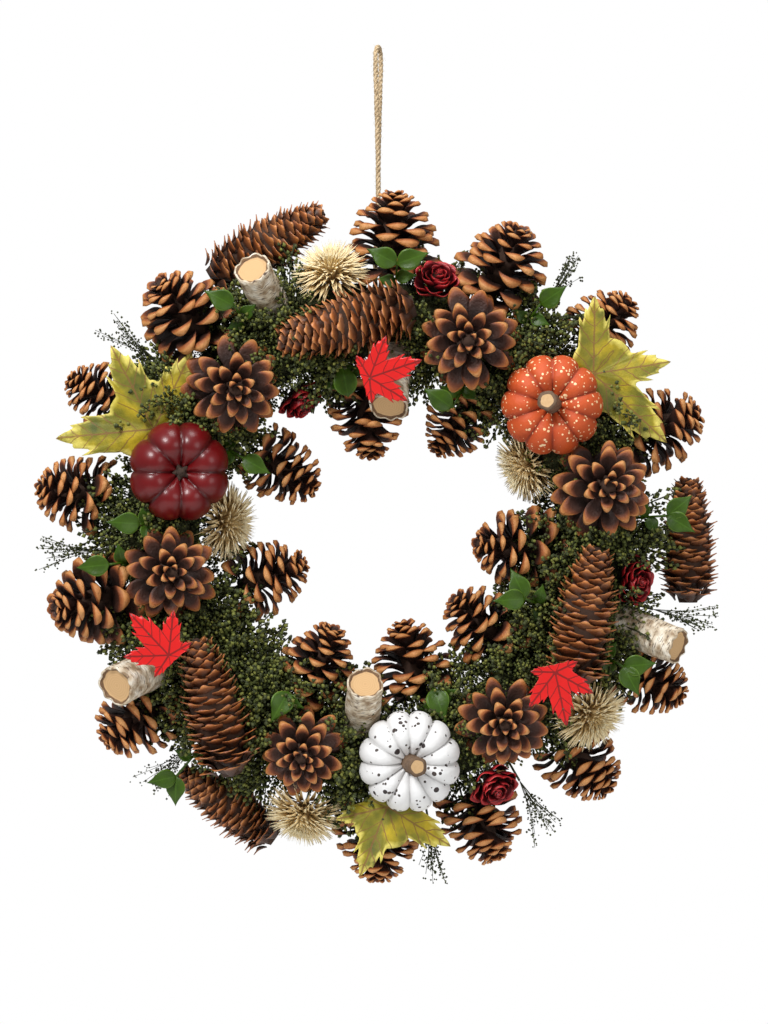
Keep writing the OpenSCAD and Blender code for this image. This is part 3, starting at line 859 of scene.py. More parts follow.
def core_colour(net):
    return net.mix(net.noise(0.002), (0.020, 0.009, 0.005), (0.06, 0.025, 0.012))


core_finish = finish_material("cone_core", core_colour, 0.9)
pine_scale = scale_piece("pine_scale", blade(9, 6, pine_width, pine_rise, pine_thick, 0.22))
open_scale = scale_piece("open_scale", blade(9, 6, open_width, pine_rise, pine_thick, 0.30))


def grow_on(name, place, core_profile, core_material, **inputs):
    """Scales grown round a core, set at its place on the wreath."""
    points, faces = turned(core_profile)
    base = make_piece(name, points, faces, [core_material], {"along": np.zeros(len(points))})
    mesh = grown(base, spiral_tree, spiral_inputs, **inputs)
    bpy.data.objects.remove(base)
    mesh.transform(place)
    piece = bpy.data.objects.new(name, mesh)
    bpy.context.scene.collection.objects.link(piece)
    return piece


def pine_cone(name, place, height, radius, seed, scale, scales, foot_tilt, tip_tilt, bend):
    core = radius * 0.30
    profile = [(core * 0.5, 0), (core, height * 0.25), (core * 0.9, height * 0.5),
               (core * 0.35, height * 0.86)]
    return grow_on(name, place, profile, core_finish, Scale=scale, Scales=scales, Height=height * 0.80,
                   Core=core * 0.8, Reach=radius * 0.92, Widest=0.36, Foot_tilt=math.radians(foot_tilt),
                   Tip_tilt=math.radians(tip_tilt), Bend=bend, Tip_size=0.46, Crowding=0.92, Seed=seed,
                   Finish=pine_finish)


# Each kind's scale, how many of them, their tilt at the foot and at the tip in degrees, and how
# soon the tilt changes.
cone_rows = {"pine_cone_outer_": (pine_scale, 60, 108, 26, 1.1),
             "pine_cone_inner_": (pine_scale, 60, 108, 26, 1.1),
             "pine_cone_face_": (open_scale, 40, 112, 20, 1.2)}
for seed, node in enumerate(sorted(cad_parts)):
    row = next((row for row in cone_rows if node.startswith(row)), None)
    if row is None:
        continue
    place, height, radius = standing(*solid_parts(node)[0])
    cone = pine_cone(node + "_scales", place, height, radius, seed, *cone_rows[row])
    rides(cone, "wreath", "pine_cone", node)

# ---- Spruce cones ----------------------------------------------------------------------------
# Long cones that lie on their side. Their scales are thin, closely laid and papery: tan orange
# with a darker rim, and a purple tinge at the edge. Towards its root each scale is painted near black,
# as painted shade under the scale that lies over it.


def spruce_width(t):
    return 0.16 + 0.38 * math.sin(min(t / 0.75, 1) * math.pi / 2) - 0.33 * (max(t - 0.75, 0) / 0.25) ** 1.5


def spruce_rise(t):
    return 0.10 * math.sin(t * math.pi)


def spruce_colour(net):
    along, tint = net.value("along"), net.value("tint")
    # Near black at the root is painted shade under the overlapping scales.
    tan = net.ramp(along, (0.45, (0.02, 0.007, 0.004)), (0.68, (0.18, 0.050, 0.012)),
                   (0.88, (0.54, 0.165, 0.032)), (0.96, (0.70, 0.28, 0.07)), (1.0, (0.30, 0.085, 0.045)))
    pale = net.ramp(along, (0.45, (0.03, 0.012, 0.006)), (0.68, (0.22, 0.085, 0.034)),
                    (0.88, (0.58, 0.22, 0.055)), (0.96, (0.74, 0.36, 0.12)), (1.0, (0.38, 0.14, 0.08)))
    return net.mix(net.noise(0.006, 4) * 0.3, net.mix(tint, tan, pale), (0.20, 0.060, 0.018))


spruce_finish = finish_material("spruce_cone", spruce_colour, 0.45, lambda net: net.noise(0.001, 4), 0.0002)
spruce_scale = scale_piece("spruce_scale", blade(4, 4, spruce_width, spruce_rise, lambda t: 0.045, 0.30))


def lying(points, triangles):
    """Axes at the foot of a cone that lies on its side, with its length and greatest radius."""
    middle = points.mean(0)
    _, _, axes = np.linalg.svd(points - middle, full_matrices=False)
    way = axes[0]
    centre = middle_of(points, triangles)
    along = (points - centre) @ way
    if along.max() < -along.min():
        way, along = -way, -along
    aside = np.linalg.norm(points - centre - along[:, None] * way, axis=1)
    return (axes_along(way, Vector(centre + way * along.min()), (0, -1, 0)),
            float(along.max() - along.min()), float(aside.max()))


for seed, node in enumerate(sorted(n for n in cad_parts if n.startswith("spruce_cone_"))):
    place, length, radius = lying(*solid_parts(node)[0])
    core = radius * 0.62
    profile = [(core * 0.45, 0), (core, length * 0.25), (core * 1.05, length * 0.5),
               (core * 0.6, length * 0.8), (core * 0.15, length * 0.93)]
    cone = grow_on(node + "_scales", place, profile, core_finish, Scale=spruce_scale, Scales=150,
                   Height=length * 0.88, Core=core * 0.85, Reach=radius * 0.62, Widest=0.45,
                   Foot_tilt=math.radians(62), Tip_tilt=math.radians(14), Bend=1.0, Tip_size=0.6,
                   Crowding=1.0, Seed=40 + seed, Finish=spruce_finish)
    rides(cone, "wreath", "spruce_cone", node)
for scale in (pine_scale, open_scale, spruce_scale):
    bpy.data.objects.remove(scale)

# ---- Pumpkins --------------------------------------------------------------------------------
# Small foam pumpkins on their picks. The red one is lacquered and glossy with a bare calyx, the
# orange one is matt with cream speckles, the white one matt with black speckles. All three are
# painted darker in their grooves, as painted shade in the creases. The red one's calyx is near black:
# its own dark colour with painted shade of the hollow it sits in.

RIB_DEPTH = 0.11
DIMPLE = 0.30
STEPS_PER_RIB, LEVELS = 12, 36
SEPALS = 5
STEM_R, STEM_CORNERS, STEM_FLUTES, CUT_SHARE = 0.0042, 20, 5, 0.66


def speckle(net, size, share):
    """1 in small uneven spots, one to a cell of the given size, 0 between them."""
    where = net.node("ShaderNodeTexCoord", out="Object")
    spots = net.node("ShaderNodeTexVoronoi", None, {"Vector": where, "Scale": 1 / size})
    return spots < net.noise(size * 1.7, 1) * share - share * 0.28


def lacquer_colour(net):
    skin = net.mix(net.noise(0.02), (0.085, 0.0015, 0.003), (0.19, 0.003, 0.004))
    # Darker in the grooves: painted shade in the creases.
    return net.mix(net.value("groove") * 0.8, skin, (0.045, 0.001, 0.002))


def orange_colour(net):
    skin = net.mix(net.noise(0.012), (0.50, 0.060, 0.008), (0.64, 0.10, 0.014))
    # Darker in the grooves: painted shade in the creases.
    skin_and_groove_shade = net.mix(net.value("groove") * 0.7, skin, (0.27, 0.026, 0.008))
    spotted = net.mix(speckle(net, 0.0038, 0.60), skin_and_groove_shade, (0.90, 0.62, 0.33))
    return net.mix(speckle(net, 0.0021, 0.90), spotted, (0.92, 0.68, 0.40))


def white_colour(net):
    # Grey in the grooves: painted shade in the creases of the white skin.
    skin_and_groove_shade = net.mix(net.value("groove") * 0.5, (0.80, 0.80, 0.80), (0.50, 0.49, 0.48))
    spotted = net.mix(speckle(net, 0.0070, 0.62), skin_and_groove_shade, (0.03, 0.02, 0.02))
    return net.mix(speckle(net, 0.0034, 0.85), spotted, (0.05, 0.035, 0.03))


def foam_skin(net):
    return net.noise(0.0016, 4)


def calyx_colour(net):
    # Near black: the calyx's own dark colour with painted shade of the hollow it sits in.
    return net.mix(net.noise(0.0015, 4), (0.012, 0.008, 0.006), (0.07, 0.04, 0.025))


def stem_bark(net):
    return net.mix(net.noise(0.002, 5), (0.06, 0.035, 0.02), (0.24, 0.15, 0.09))


def stem_wood(net):
    return net.mix(net.noise(0.001, 4), (0.50, 0.30, 0.13), (0.66, 0.45, 0.24))


calyx_finish = finish_material("calyx", calyx_colour, 0.9, foam_skin, 0.0005)
stem_finish = finish_material("stem_bark", stem_bark, 0.85, foam_skin, 0.0006)
cut_finish = finish_material("stem_wood", stem_wood, 0.8)
pumpkin_kinds = {
    "pumpkin_red": (8, finish_material("lacquer_red", lacquer_colour, 0.36,
                                       Specular_IOR_Level=0.35, Coat_Weight=0.15, Coat_Roughness=0.15)),
    "pumpkin_orange": (10, finish_material("matt_orange", orange_colour, 0.62, foam_skin, 0.0003)),
    "pumpkin_white": (12, finish_material("matt_white", white_colour, 0.6, foam_skin, 0.0003)),
}


def ribbed_body(ribs, height, radius):
    """A ribbed pumpkin about Z, with its foot at the origin; values give how deep in a groove."""
    points, groove, per_turn = [], [], ribs * STEPS_PER_RIB
    for i in range(LEVELS + 1):
        level = math.radians(-90 + 180 * (i + 0.02) / (LEVELS + 0.04))
        out, lift = math.cos(level) ** 0.66, math.sin(level)
        for k in range(per_turn):
            turn = 2 * math.pi * k / per_turn
            crest = abs(math.sin(ribs * turn / 2)) ** 0.55
            depth = RIB_DEPTH * (1 - crest)
            r = radius * out * (1 - depth * min(1, out * 1.6))
            z = height / 2 * (1 + lift * (1 - depth * 1.3))
            hollow = math.exp(-(out / 0.34) ** 2) * height * DIMPLE
            z += -hollow if lift > 0 else hollow * 0.4
            points.append((r * math.cos(turn), r * math.sin(turn), z))
            groove.append((1 - crest) if out > 0.15 else 1)
    faces = []
    for i in range(LEVELS):
        for k in range(per_turn):
            a, b = i * per_turn + k, i * per_turn + (k + 1) % per_turn
            faces.append((a, b, b + per_turn, a + per_turn))
    faces += [tuple(range(per_turn))[::-1], tuple(LEVELS * per_turn + k for k in range(per_turn))]
    return np.array(points), faces, groove


for node, (ribs, paint) in pumpkin_kinds.items():
    place, height, radius = standing(*solid_parts(node)[0])
    points, faces, groove = ribbed_body(ribs, height, radius)
    heap = Heap()
    heap.add(points, faces, groove=groove)
    hollow_z = height * (1 - DIMPLE)
    if node == "pumpkin_red":
        for k in range(SEPALS):
            turn = 2 * math.pi * k / SEPALS + 0.4
            out = np.array((math.cos(turn), math.sin(turn), 0))
            sepal = np.array([(0, 0, hollow_z), out * 0.0022 + (0, 0, hollow_z + 0.0012),
                              out * 0.0042 + (0, 0, hollow_z + 0.0022)])
            heap.add(*tube_along(sepal, [0.0016, 0.0016, 0.0004], 6), slot=1, groove=0)
        calyx = np.array([(0, 0, hollow_z - 0.002), (0, 0, hollow_z + 0.003)])
        heap.add(*tube_along(calyx, [0.0030, 0.0024], 5), slot=1, groove=0)
    body = heap.piece(node + "_body", paint, calyx_finish)
    body.data.transform(place)
    rides(body, "wreath", node, node)

stem_heap = Heap()
for points, triangles in solid_parts("pumpkin_stems"):
    start = straw_foot(points.mean(0))
    middle = Vector(middle_of(points, triangles))
    far = np.linalg.norm(points - np.array(start), axis=1)
    base = Vector(points[far < np.quantile(far, 0.12)].mean(0))
    tip = Vector(points[far > np.quantile(far, 0.80)].mean(0))
    line = smooth_line([base, base.lerp(middle, 0.6), middle.lerp(tip, 0.45), tip], 0.0007)
    steps = np.linspace(0, 1, len(line))[:, None]
    around = np.linspace(0, 2 * math.pi, STEM_CORNERS, endpoint=False)
    flutes = 1 + 0.04 * np.cos(STEM_FLUTES * around)[None, :]
    width = STEM_R * (1.25 - 0.45 * np.sin(steps * 2.4) + 0.25 * steps ** 3) * flutes
    stem_points, stem_faces = tube_along(line, width, STEM_CORNERS)
    stem_heap.add(stem_points, stem_faces[:-1])
    last = (len(line) - 1) * STEM_CORNERS
    rim_in = line[-1] + (stem_points[last:] - line[-1]) * CUT_SHARE
    beside = [(k + 1) % STEM_CORNERS for k in range(STEM_CORNERS)]
    ring_faces = [(k, n, STEM_CORNERS + n, STEM_CORNERS + k) for k, n in enumerate(beside)]
    stem_heap.add(np.vstack([stem_points[last:], rim_in]), ring_faces)
    stem_heap.add(rim_in, [tuple(range(STEM_CORNERS))], slot=1)
stems = stem_heap.piece("pumpkin_stem_stubs", stem_finish, cut_finish)
weld = bmesh.new()
weld.from_mesh(stems.data)
bmesh.ops.remove_doubles(weld, verts=weld.verts, dist=1e-7)
bmesh.ops.recalc_face_normals(weld, faces=weld.faces)
weld.to_mesh(stems.data)
weld.free()
rides(stems, "wreath", "stem", "pumpkin_stems")

# ---- Rose cones ------------------------------------------------------------------------------
# Tops of cedar cones cut across, which open like small roses, dyed crimson. Their woody
# petals are thin, stand in close rings, and are brighter at the rim. Each petal is painted near black
# towards its root, as painted shade deep in the rosette.


def rose_width(t):
    return 0.34 + 0.28 * math.sin(min(t / 0.7, 1) * math.pi / 2) - 0.22 * max(t - 0.75, 0) / 0.25


def rose_rise(t):
    return 0.30 * t * t


def rose_colour(net):
    along = net.value("along")
    # Near black low on the petal is painted shade deep in the rosette; the colour grows brighter towards the
    # rim.
    deep = net.ramp(along, (0.4, (0.030, 0.002, 0.004)), (0.75, (0.14, 0.004, 0.007)),
                    (0.93, (0.50, 0.010, 0.016)), (1.0, (0.74, 0.04, 0.04)))
    return net.mix(net.noise(0.004, 3) * 0.45, deep, (0.07, 0.004, 0.008))


rose_finish = finish_material("rose_cone", rose_colour, 0.42, lambda net: net.noise(0.0009, 4), 0.0002)
rose_petal = scale_piece("rose_petal", blade(4, 6, rose_width, rose_rise, lambda t: 0.07 - 0.03 * t, 0.45))


def joined_piece(name, parts):
    """One object made of several."""
    with bpy.context.temp_override(active_object=parts[0], object=parts[0], selected_objects=parts,
                                   selected_editable_objects=parts):
        bpy.ops.object.join()
    parts[0].name = parts[0].data.name = name
    return parts[0]


rose_parts = []
for seed, solid in enumerate(solid_parts("rose_cones")):
    place, height, radius = standing(*solid)
    profile = [(radius * 0.30, 0), (radius * 0.34, height * 0.3), (radius * 0.10, height * 0.62)]
    rose_parts.append(grow_on(
        f"rose_{seed}", place, profile, core_finish, Scale=rose_petal, Scales=44, Height=height * 0.62,
        Core=radius * 0.42, Reach=radius * 0.66, Widest=0.0, Foot_tilt=math.radians(84),
        Tip_tilt=math.radians(6), Bend=0.8, Tip_size=0.42, Crowding=0.85, Seed=70 + seed,
        Finish=rose_finish))
rides(joined_piece("rose_cone_petals", rose_parts), "wreath", "rose_cone", "rose_cones")

# ---- Straw flowers ---------------------------------------------------------------------------
# Dried flower heads with a great many narrow papery bracts, cream in the middle and straw brown
# low down.


def bract_width(t):
    return 0.075 * math.sin(min(t / 0.3, 1) * math.pi / 2) * (1 - max(t - 0.5, 0) ** 1.5 * 2.6)


def bract_rise(t):
    return 0.14 * math.sin(t * math.pi * 0.8)


def bract_colour(net):
    along, level = net.value("along"), net.value("level")
    low = net.ramp(along, (0.0, (0.30, 0.16, 0.05)), (0.5, (0.66, 0.44, 0.17)), (1.0, (0.84, 0.64, 0.32)))
    high = net.ramp(along, (0.0, (0.62, 0.42, 0.16)), (0.5, (0.88, 0.72, 0.40)), (1.0, (0.96, 0.88, 0.62)))
    return net.mix(net.noise(0.003, 3) * 0.25, net.mix(level ** 0.5, low, high), (0.70, 0.52, 0.26))


bract_finish = finish_material("straw_flower", bract_colour, 0.7)
bract = scale_piece("bract", blade(4, 2, bract_width, bract_rise, lambda t: 0.022, 0.6))
for seed, node in enumerate(sorted(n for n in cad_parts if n.startswith("straw_flower_"))):
    place, height, radius = standing(*solid_parts(node)[0])
    profile = [(radius * 0.22, 0), (radius * 0.42, height * 0.3), (radius * 0.28, height * 0.55),
               (radius * 0.06, height * 0.64)]
    flower = grow_on(
        node + "_bracts", place, profile, bract_finish, Scale=bract, Scales=360, Height=height * 0.62,
        Core=radius * 0.40, Reach=radius * 0.86, Widest=0.25, Foot_tilt=math.radians(104),
        Tip_tilt=math.radians(2), Bend=1.1, Tip_size=0.62, Crowding=0.9, Seed=80 + seed,
        Finish=bract_finish)
    rides(flower, "wreath", "straw_flower", node)
for scale in (rose_petal, bract):
    bpy.data.objects.remove(scale)

# ---- Birch pieces ----------------------------------------------------------------------------
# Short sawn lengths of birch branch. The white bark is marked with dark dashes across and peels a
# little at the rim; the cut end is pale with a dark line under the bark.


def bark_colour(net):
    around = net.node("ShaderNodeUVMap", {"uv_map": "wrap"})
    dashes = net.noise(1.0, 3, around, (260.0, 1500.0, 1.0))
    patches = net.noise(1.0, 4, around, (180.0, 220.0, 1.0))
    white = net.ramp(patches, (0.35, (0.30, 0.20, 0.11)), (0.50, (0.62, 0.52, 0.38)),
                     (0.66, (0.86, 0.80, 0.68)))
    return net.mix(net.ramp(dashes, (0.56, (0, 0, 0)), (0.64, (1, 1, 1))), white, (0.10, 0.06, 0.04))


def end_colour(net):
    edge = net.value("edge")
    rings = net.node("ShaderNodeMath", {"operation": "SINE"}, {0: edge * 46 + net.noise(0.004) * 4})
    wood = net.mix(rings * 0.25 + 0.5, (0.54, 0.32, 0.14), (0.68, 0.45, 0.23))
    lined = net.mix(edge > 0.89, wood, (0.06, 0.018, 0.010))
    return net.mix(net.noise(0.0009, 4) * 0.5, lined, (0.60, 0.38, 0.18))


bark_finish = finish_material("birch_bark", bark_colour, 0.6, lambda net: net.noise(0.002, 5), 0.0006)
end_finish = finish_material("birch_end", end_colour, 0.8, lambda net: net.noise(0.0005, 4), 0.0001)
LOG_CORNERS, BARK_RINGS = 48, 14
# Rings of the cut end, from the bark inwards: how high up the piece, and how far out.
END_RINGS = [(1.0, 0.90), (0.972, 0.885), (0.975, 0.6), (0.975, 0.3), (0.975, 0.05)]
for seed, node in enumerate(sorted(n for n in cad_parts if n.startswith("birch_log_"))):
    place, height, radius = standing(*solid_parts(node)[0])
    knots = np.random.default_rng(20 + seed)
    phase, wave = knots.uniform(0, 6.28, 3), knots.uniform(0.012, 0.03, 3)
    turns = np.arange(LOG_CORNERS) * 2 * math.pi / LOG_CORNERS
    uneven = 1 + sum(wave[k] * np.sin((k + 2) * turns + phase[k]) for k in range(3))
    bark_rim = radius * (0.955 + 0.02 * np.sin(7 * turns + phase[0]) + 0.015 * np.sin(13 * turns + phase[1]))
    points, edge, slots, faces, wraps = [], [], [], [], []
    rings = [(t, 1.0) for t in np.linspace(0, 1, BARK_RINGS)] + END_RINGS
    for i, (t, share) in enumerate(rings):
        at_rim = i in (BARK_RINGS - 1, BARK_RINGS)
        ragged = 0.0006 * np.sin(9 * turns + phase[2]) if at_rim else 0 * turns
        sweep = 0.0008 * math.sin(t * 3 + phase[0])
        for k, turn in enumerate(turns):
            r = bark_rim[k] * uneven[k] * share * (1 + 0.02 * math.sin(11 * t + phase[1]))
            points.append((r * math.cos(turn) + sweep, r * math.sin(turn), height * t + ragged[k]))
            edge.append(share / 0.9)
    for i in range(len(rings) - 1):
        for k in range(LOG_CORNERS):
            a, b = i * LOG_CORNERS + k, i * LOG_CORNERS + (k + 1) % LOG_CORNERS
            faces.append((a, b, b + LOG_CORNERS, a + LOG_CORNERS))
            slots.append(0 if i < BARK_RINGS else 1)
            wraps.append([(k, i), (k + 1, i), (k + 1, i + 1), (k, i + 1)])
    for first, way in ((0, -1), ((len(rings) - 1) * LOG_CORNERS, 1)):
        faces.append(tuple(first + k for k in range(LOG_CORNERS))[::way])
        slots.append(1)
        wraps.append([(0, 0)] * LOG_CORNERS)
    log = make_piece(node + "_bark", points, faces, [bark_finish, end_finish], {"edge": edge}, slots)
    layer = log.data.uv_layers.new(name="wrap")
    flat = [(k / LOG_CORNERS * 2 * math.pi * radius, rings[i][0] * height + 0.03 * seed)
            for face in wraps for k, i in face]
    layer.data.foreach_set("uv", np.array(flat, float).ravel())
    log.data.transform(place)
    rides(log, "wreath", "birch", node)

# ---- Maple leaves ----------------------------------------------------------------------------
# The red leaves are thin plywood, painted bright red, with engraved veins. The yellow ones are
# printed cloth on a wired vein, a little curled. Each stands on its own wire.

LEAF_TURNS, LEAF_RINGS = 220, 10
RED_THICK, CLOTH_THICK, CLOTH_CURL, LEAF_WIRE_R = 0.0015, 0.0004, 0.0022, 0.0007
# A lobe's outline beside its tip: degrees from its middle, and share of its reach.
LOBE_EDGE = [(0, 1.0), (3, 0.91), (6, 0.80), (7.5, 0.87), (10.5, 0.72), (13, 0.66), (15, 0.78), (18, 0.60),
             (23, 0.50), (30, 0.40), (180, 0.0)]


def front_outline(points, triangles):
    """The outline of a part's largest flat face that looks at the viewer, and its normal."""
    a, b, c = (points[triangles[:, k]] for k in range(3))
    normals = np.cross(b - a, c - a)
    areas = np.linalg.norm(normals, axis=1)
    normals = normals / np.maximum(areas, 1e-12)[:, None]
    seen = np.flatnonzero(normals[:, 1] < -0.3)
    best = max(seen, key=lambda i: areas[seen][normals[seen] @ normals[i] > 0.9995].sum())
    normal = normals[best]
    level = ((a + b + c) / 3) @ normal
    flat = triangles[(normals @ normal > 0.9995) & (level > level[best] - 2e-5)]
    edges = {}
    for triangle in flat:
        for k in range(3):
            edges[(triangle[k], triangle[(k + 1) % 3])] = True
    follow = {i: j for i, j in edges if (j, i) not in edges}
    loops = []
    while follow:
        start, here = next(iter(follow.items()))
        loop = [start]
        del follow[start]
        while here in follow:
            loop.append(here)
            here = follow.pop(here)
        loops.append(loop)
    outline = points[max(loops, key=len)]
    return outline, normal


def wire_of(points, outline, normal):
    """Where a leaf's wire starts in the straw and where it meets the leaf's plane."""
    near = straw_distance(points)
    start = points[near < near.min() + 0.0012].mean(0)
    foot = straw_foot(start)
    way = start - np.array(foot)
    way /= np.linalg.norm(way)
    reach = ((outline[0] - np.array(foot)) @ normal) / (way @ normal)
    return start, np.array(foot) + way * reach


def leaf_axes(outline, normal, lobes):
    """A maple outline's vein root and lobe tips: it has six corners to a lobe."""
    count = 6 * lobes
    if len(outline) != count:
        raise ValueError(f"a maple outline has {len(outline)} corners, not {count}")
    middle = outline.mean(0)
    far = np.linalg.norm(outline - middle, axis=1)
    first = min(range(6), key=lambda s: far[s::6].mean())
    valleys = list(range(first, count, 6))

    def unevenness(v):
        return np.std([np.linalg.norm(outline[v] - outline[w]) for w in valleys if w != v])

    root = min(valleys, key=unevenness)
    tips = [outline[(root + 3 + 6 * k) % count] for k in range(lobes)]
    notches = [outline[(root + 6 * k) % count] for k in range(1, lobes)]
    return outline[root], tips, notches


def maple_leaf(heap, outline, normal, lobes, thick, curl, seed):
    """Adds a leaf within its outline to the heap. Gives its vein coordinates face by face, its area
    and its flat size."""
    base, tips, notches = leaf_axes(outline, normal, lobes)
    up = tips[lobes // 2] - base
    up -= normal * (up @ normal)
    root = base + up * 0.04
    up /= np.linalg.norm(up)
    across = np.cross(up, normal)

    def polar(point):
        x, y = (point - root) @ across, (point - root) @ up
        return math.degrees(math.atan2(x, y)), math.hypot(x, y)

    tip_rows, notch_rows = sorted(polar(p) for p in tips), sorted(polar(p) for p in notches)
    short = 0.10 * max(r for _, r in tip_rows)
    web = ([(-180, short), (tip_rows[0][0] - 42, 0.30 * tip_rows[0][1])] + notch_rows
           + [(tip_rows[-1][0] + 42, 0.30 * tip_rows[-1][1]), (180, short)])
    turns = np.linspace(-180, 180, LEAF_TURNS, endpoint=False)
    edge_angles, edge_shares = zip(*LOBE_EDGE)
    reach = np.interp(turns, [a for a, _ in web], [r for _, r in web])
    for angle, length in tip_rows:
        off = np.abs((turns - angle + 180) % 360 - 180)
        reach = np.maximum(reach, length * np.interp(off, edge_angles, edge_shares))
    ripple = np.random.default_rng(seed)
    phase = ripple.uniform(0, 2 * math.pi, 2)
    sides = []
    for face in (0, 1):
        for ring in range(1, LEAF_RINGS + 1):
            s = ring / LEAF_RINGS
            for turn, length in zip(np.radians(turns), reach):
                r = length * s
                bend = curl * (0.9 * s * s * math.sin(2 * turn + phase[0])
                               + 0.5 * s * math.sin(5 * turn + phase[1]))
                at_rim = ring == LEAF_RINGS
                slim = thick * (1 - 0.35 * at_rim) * (face - 0.175 * at_rim)
                sides.append(root + across * r * math.sin(turn) + up * r * math.cos(turn)
                             + normal * (bend - slim))
    sides += [root, root - normal * thick]

    def ring_at(face, ring, k):
        return (face * LEAF_RINGS + ring) * LEAF_TURNS + k % LEAF_TURNS

    front, back = len(sides) - 2, len(sides) - 1
    faces = []
    for k in range(LEAF_TURNS):
        faces.append((front, ring_at(0, 0, k), ring_at(0, 0, k + 1)))
        faces.append((back, ring_at(1, 0, k + 1), ring_at(1, 0, k)))
        for ring in range(LEAF_RINGS - 1):
            faces.append((ring_at(0, ring, k), ring_at(0, ring + 1, k),
                          ring_at(0, ring + 1, k + 1), ring_at(0, ring, k + 1)))
            faces.append((ring_at(1, ring, k + 1), ring_at(1, ring + 1, k + 1),
                          ring_at(1, ring + 1, k), ring_at(1, ring, k)))
        rim = LEAF_RINGS - 1
        faces.append((ring_at(0, rim, k), ring_at(1, rim, k),
                      ring_at(1, rim, k + 1), ring_at(0, rim, k + 1)))
    edge = [ring / LEAF_RINGS for _ in (0, 1) for ring in range(1, LEAF_RINGS + 1)
            for _ in range(LEAF_TURNS)] + [0, 0]
    heap.add(sides, faces, edge=edge)
    sides = np.array(sides)
    veins = []
    for face in faces:
        spots = sides[list(face)] - root
        turn, _ = polar(sides[list(face)].mean(0))
        angle, length = min(tip_rows, key=lambda row: abs((row[0] - turn + 180) % 360 - 180))
        along = up * math.cos(math.radians(angle)) + across * math.sin(math.radians(angle))
        aside = np.cross(along, normal)
        veins += [(float(spot @ along), float(spot @ aside)) for spot in spots]
    area = 0.5 * float(np.sum(reach * np.roll(reach, -1))) * math.sin(2 * math.pi / LEAF_TURNS)
    xs, ys = reach * np.sin(np.radians(turns)), reach * np.cos(np.radians(turns))
    return veins, area, (float(np.ptp(xs)), float(np.ptp(ys)))


def vein_lines(net, spacing, wander):
    """1 on the main vein of a lobe and on the side veins that leave it, 0 between."""
    spot = net.node("ShaderNodeSeparateXYZ", None, {0: net.node("ShaderNodeUVMap", {"uv_map": "veins"})})
    along, aside = spot, Wire(net, spot.socket.node.outputs[1])
    off = net.node("ShaderNodeMath", {"operation": "ABSOLUTE"}, {
        0: aside + (net.noise(0.006) - 0.5) * wander})
    main = off < 0.00042
    step = net.node("ShaderNodeMath", {"operation": "FRACT"}, {
        0: (along - off * 1.15 + (net.noise(0.007) - 0.5) * wander * 4) / spacing + 8})
    twig = (step < 0.10) * (off < 0.010)
    return net.node("ShaderNodeMath", {"operation": "MAXIMUM"}, {0: main, 1: twig})


def red_leaf_colour(net):
    paint = net.mix(net.noise(0.009, 4), (0.56, 0.002, 0.002), (0.74, 0.006, 0.004))
    return net.mix(vein_lines(net, 0.0060, 0.0006) * 0.85, paint, (0.16, 0.004, 0.004))


def yellow_leaf_colour(net):
    print_ground = net.ramp(net.noise(0.016, 4), (0.32, (0.07, 0.085, 0.004)), (0.50, (0.23, 0.20, 0.004)),
                            (0.66, (0.52, 0.38, 0.006)))
    near_edge = net.value("edge") + (net.noise(0.008) - 0.5) * 0.5
    edged = net.mix(net.ramp(near_edge, (0.86, (0, 0, 0)), (1.0, (1, 1, 1))), print_ground,
                    (0.70, 0.60, 0.12))
    return net.mix(vein_lines(net, 0.0075, 0.0012) * 0.75, edged, (0.20, 0.085, 0.02))


def vein_relief(net):
    return 1 - vein_lines(net, 0.0060, 0.0006)


red_paint = finish_material("red_leaf", red_leaf_colour, 0.42, vein_relief, 0.0003)
printed_cloth = finish_material("yellow_leaf", yellow_leaf_colour, 0.6,
                                lambda net: net.noise(0.0008, 3), 0.0002)


def with_veins(piece, veins):
    layer = piece.data.uv_layers.new(name="veins")
    spots = np.zeros((len(piece.data.loops), 2))
    spots[:len(veins)] = veins
    layer.data.foreach_set("uv", spots.ravel())


red_heap, red_veins = Heap(), []
red_parts = solid_parts("maple_leaves_red")
for seed, (points, triangles) in enumerate(red_parts):
    outline, normal = front_outline(points, triangles)
    red_veins += maple_leaf(red_heap, outline, normal, 5, RED_THICK, 0.0, seed)[0]
for points, triangles in red_parts:
    start, end = wire_of(points, *front_outline(points, triangles))
    red_heap.add(*tube_along(np.linspace(start, end, 6), [LEAF_WIRE_R] * 6, 6), slot=1, edge=0)
red_leaves = red_heap.piece("red_leaves", red_paint, pick_wire)
with_veins(red_leaves, red_veins)
rides(red_leaves, "wreath", "red_leaf", "maple_leaves_red")

yellow_wires = Heap()
for number, (points, triangles) in enumerate(solid_parts("maple_leaves_yellow")):
    outline, normal = front_outline(points, triangles)
    heap = Heap()
    veins, area, flat = maple_leaf(heap, outline, normal, 3, CLOTH_THICK, CLOTH_CURL, 30 + number)
    leaf = heap.piece(f"yellow_leaf_{number + 1}", printed_cloth)
    with_veins(leaf, veins)
    rides(leaf, "wreath", "yellow_leaf", *(["maple_leaves_yellow"] if number == 0 else []))
    start, end = wire_of(points, outline, normal)
    yellow_wires.add(*tube_along(np.linspace(start, end, 6), [LEAF_WIRE_R] * 6, 6))
rides(yellow_wires.piece("yellow_leaf_wires", pick_wire), "wreath", "pick_wire")

# ---- Box sprigs ------------------------------------------------------------------------------
# Short stems of box with one to three waxy leaves at the end and smaller ones lower down. A leaf
# is dark green with a paler rim and middle vein.

LOWER_LEAVES = ((0.72, 75, 0.72), (0.62, -80, 0.66))


def box_width(t):
    return 0.31 * math.sin(math.pi * min(max(t, 0.001), 0.999) ** 0.85) ** 0.75


def box_rise(t):
    return 0.09 * math.sin(t * math.pi) - 0.03 * t


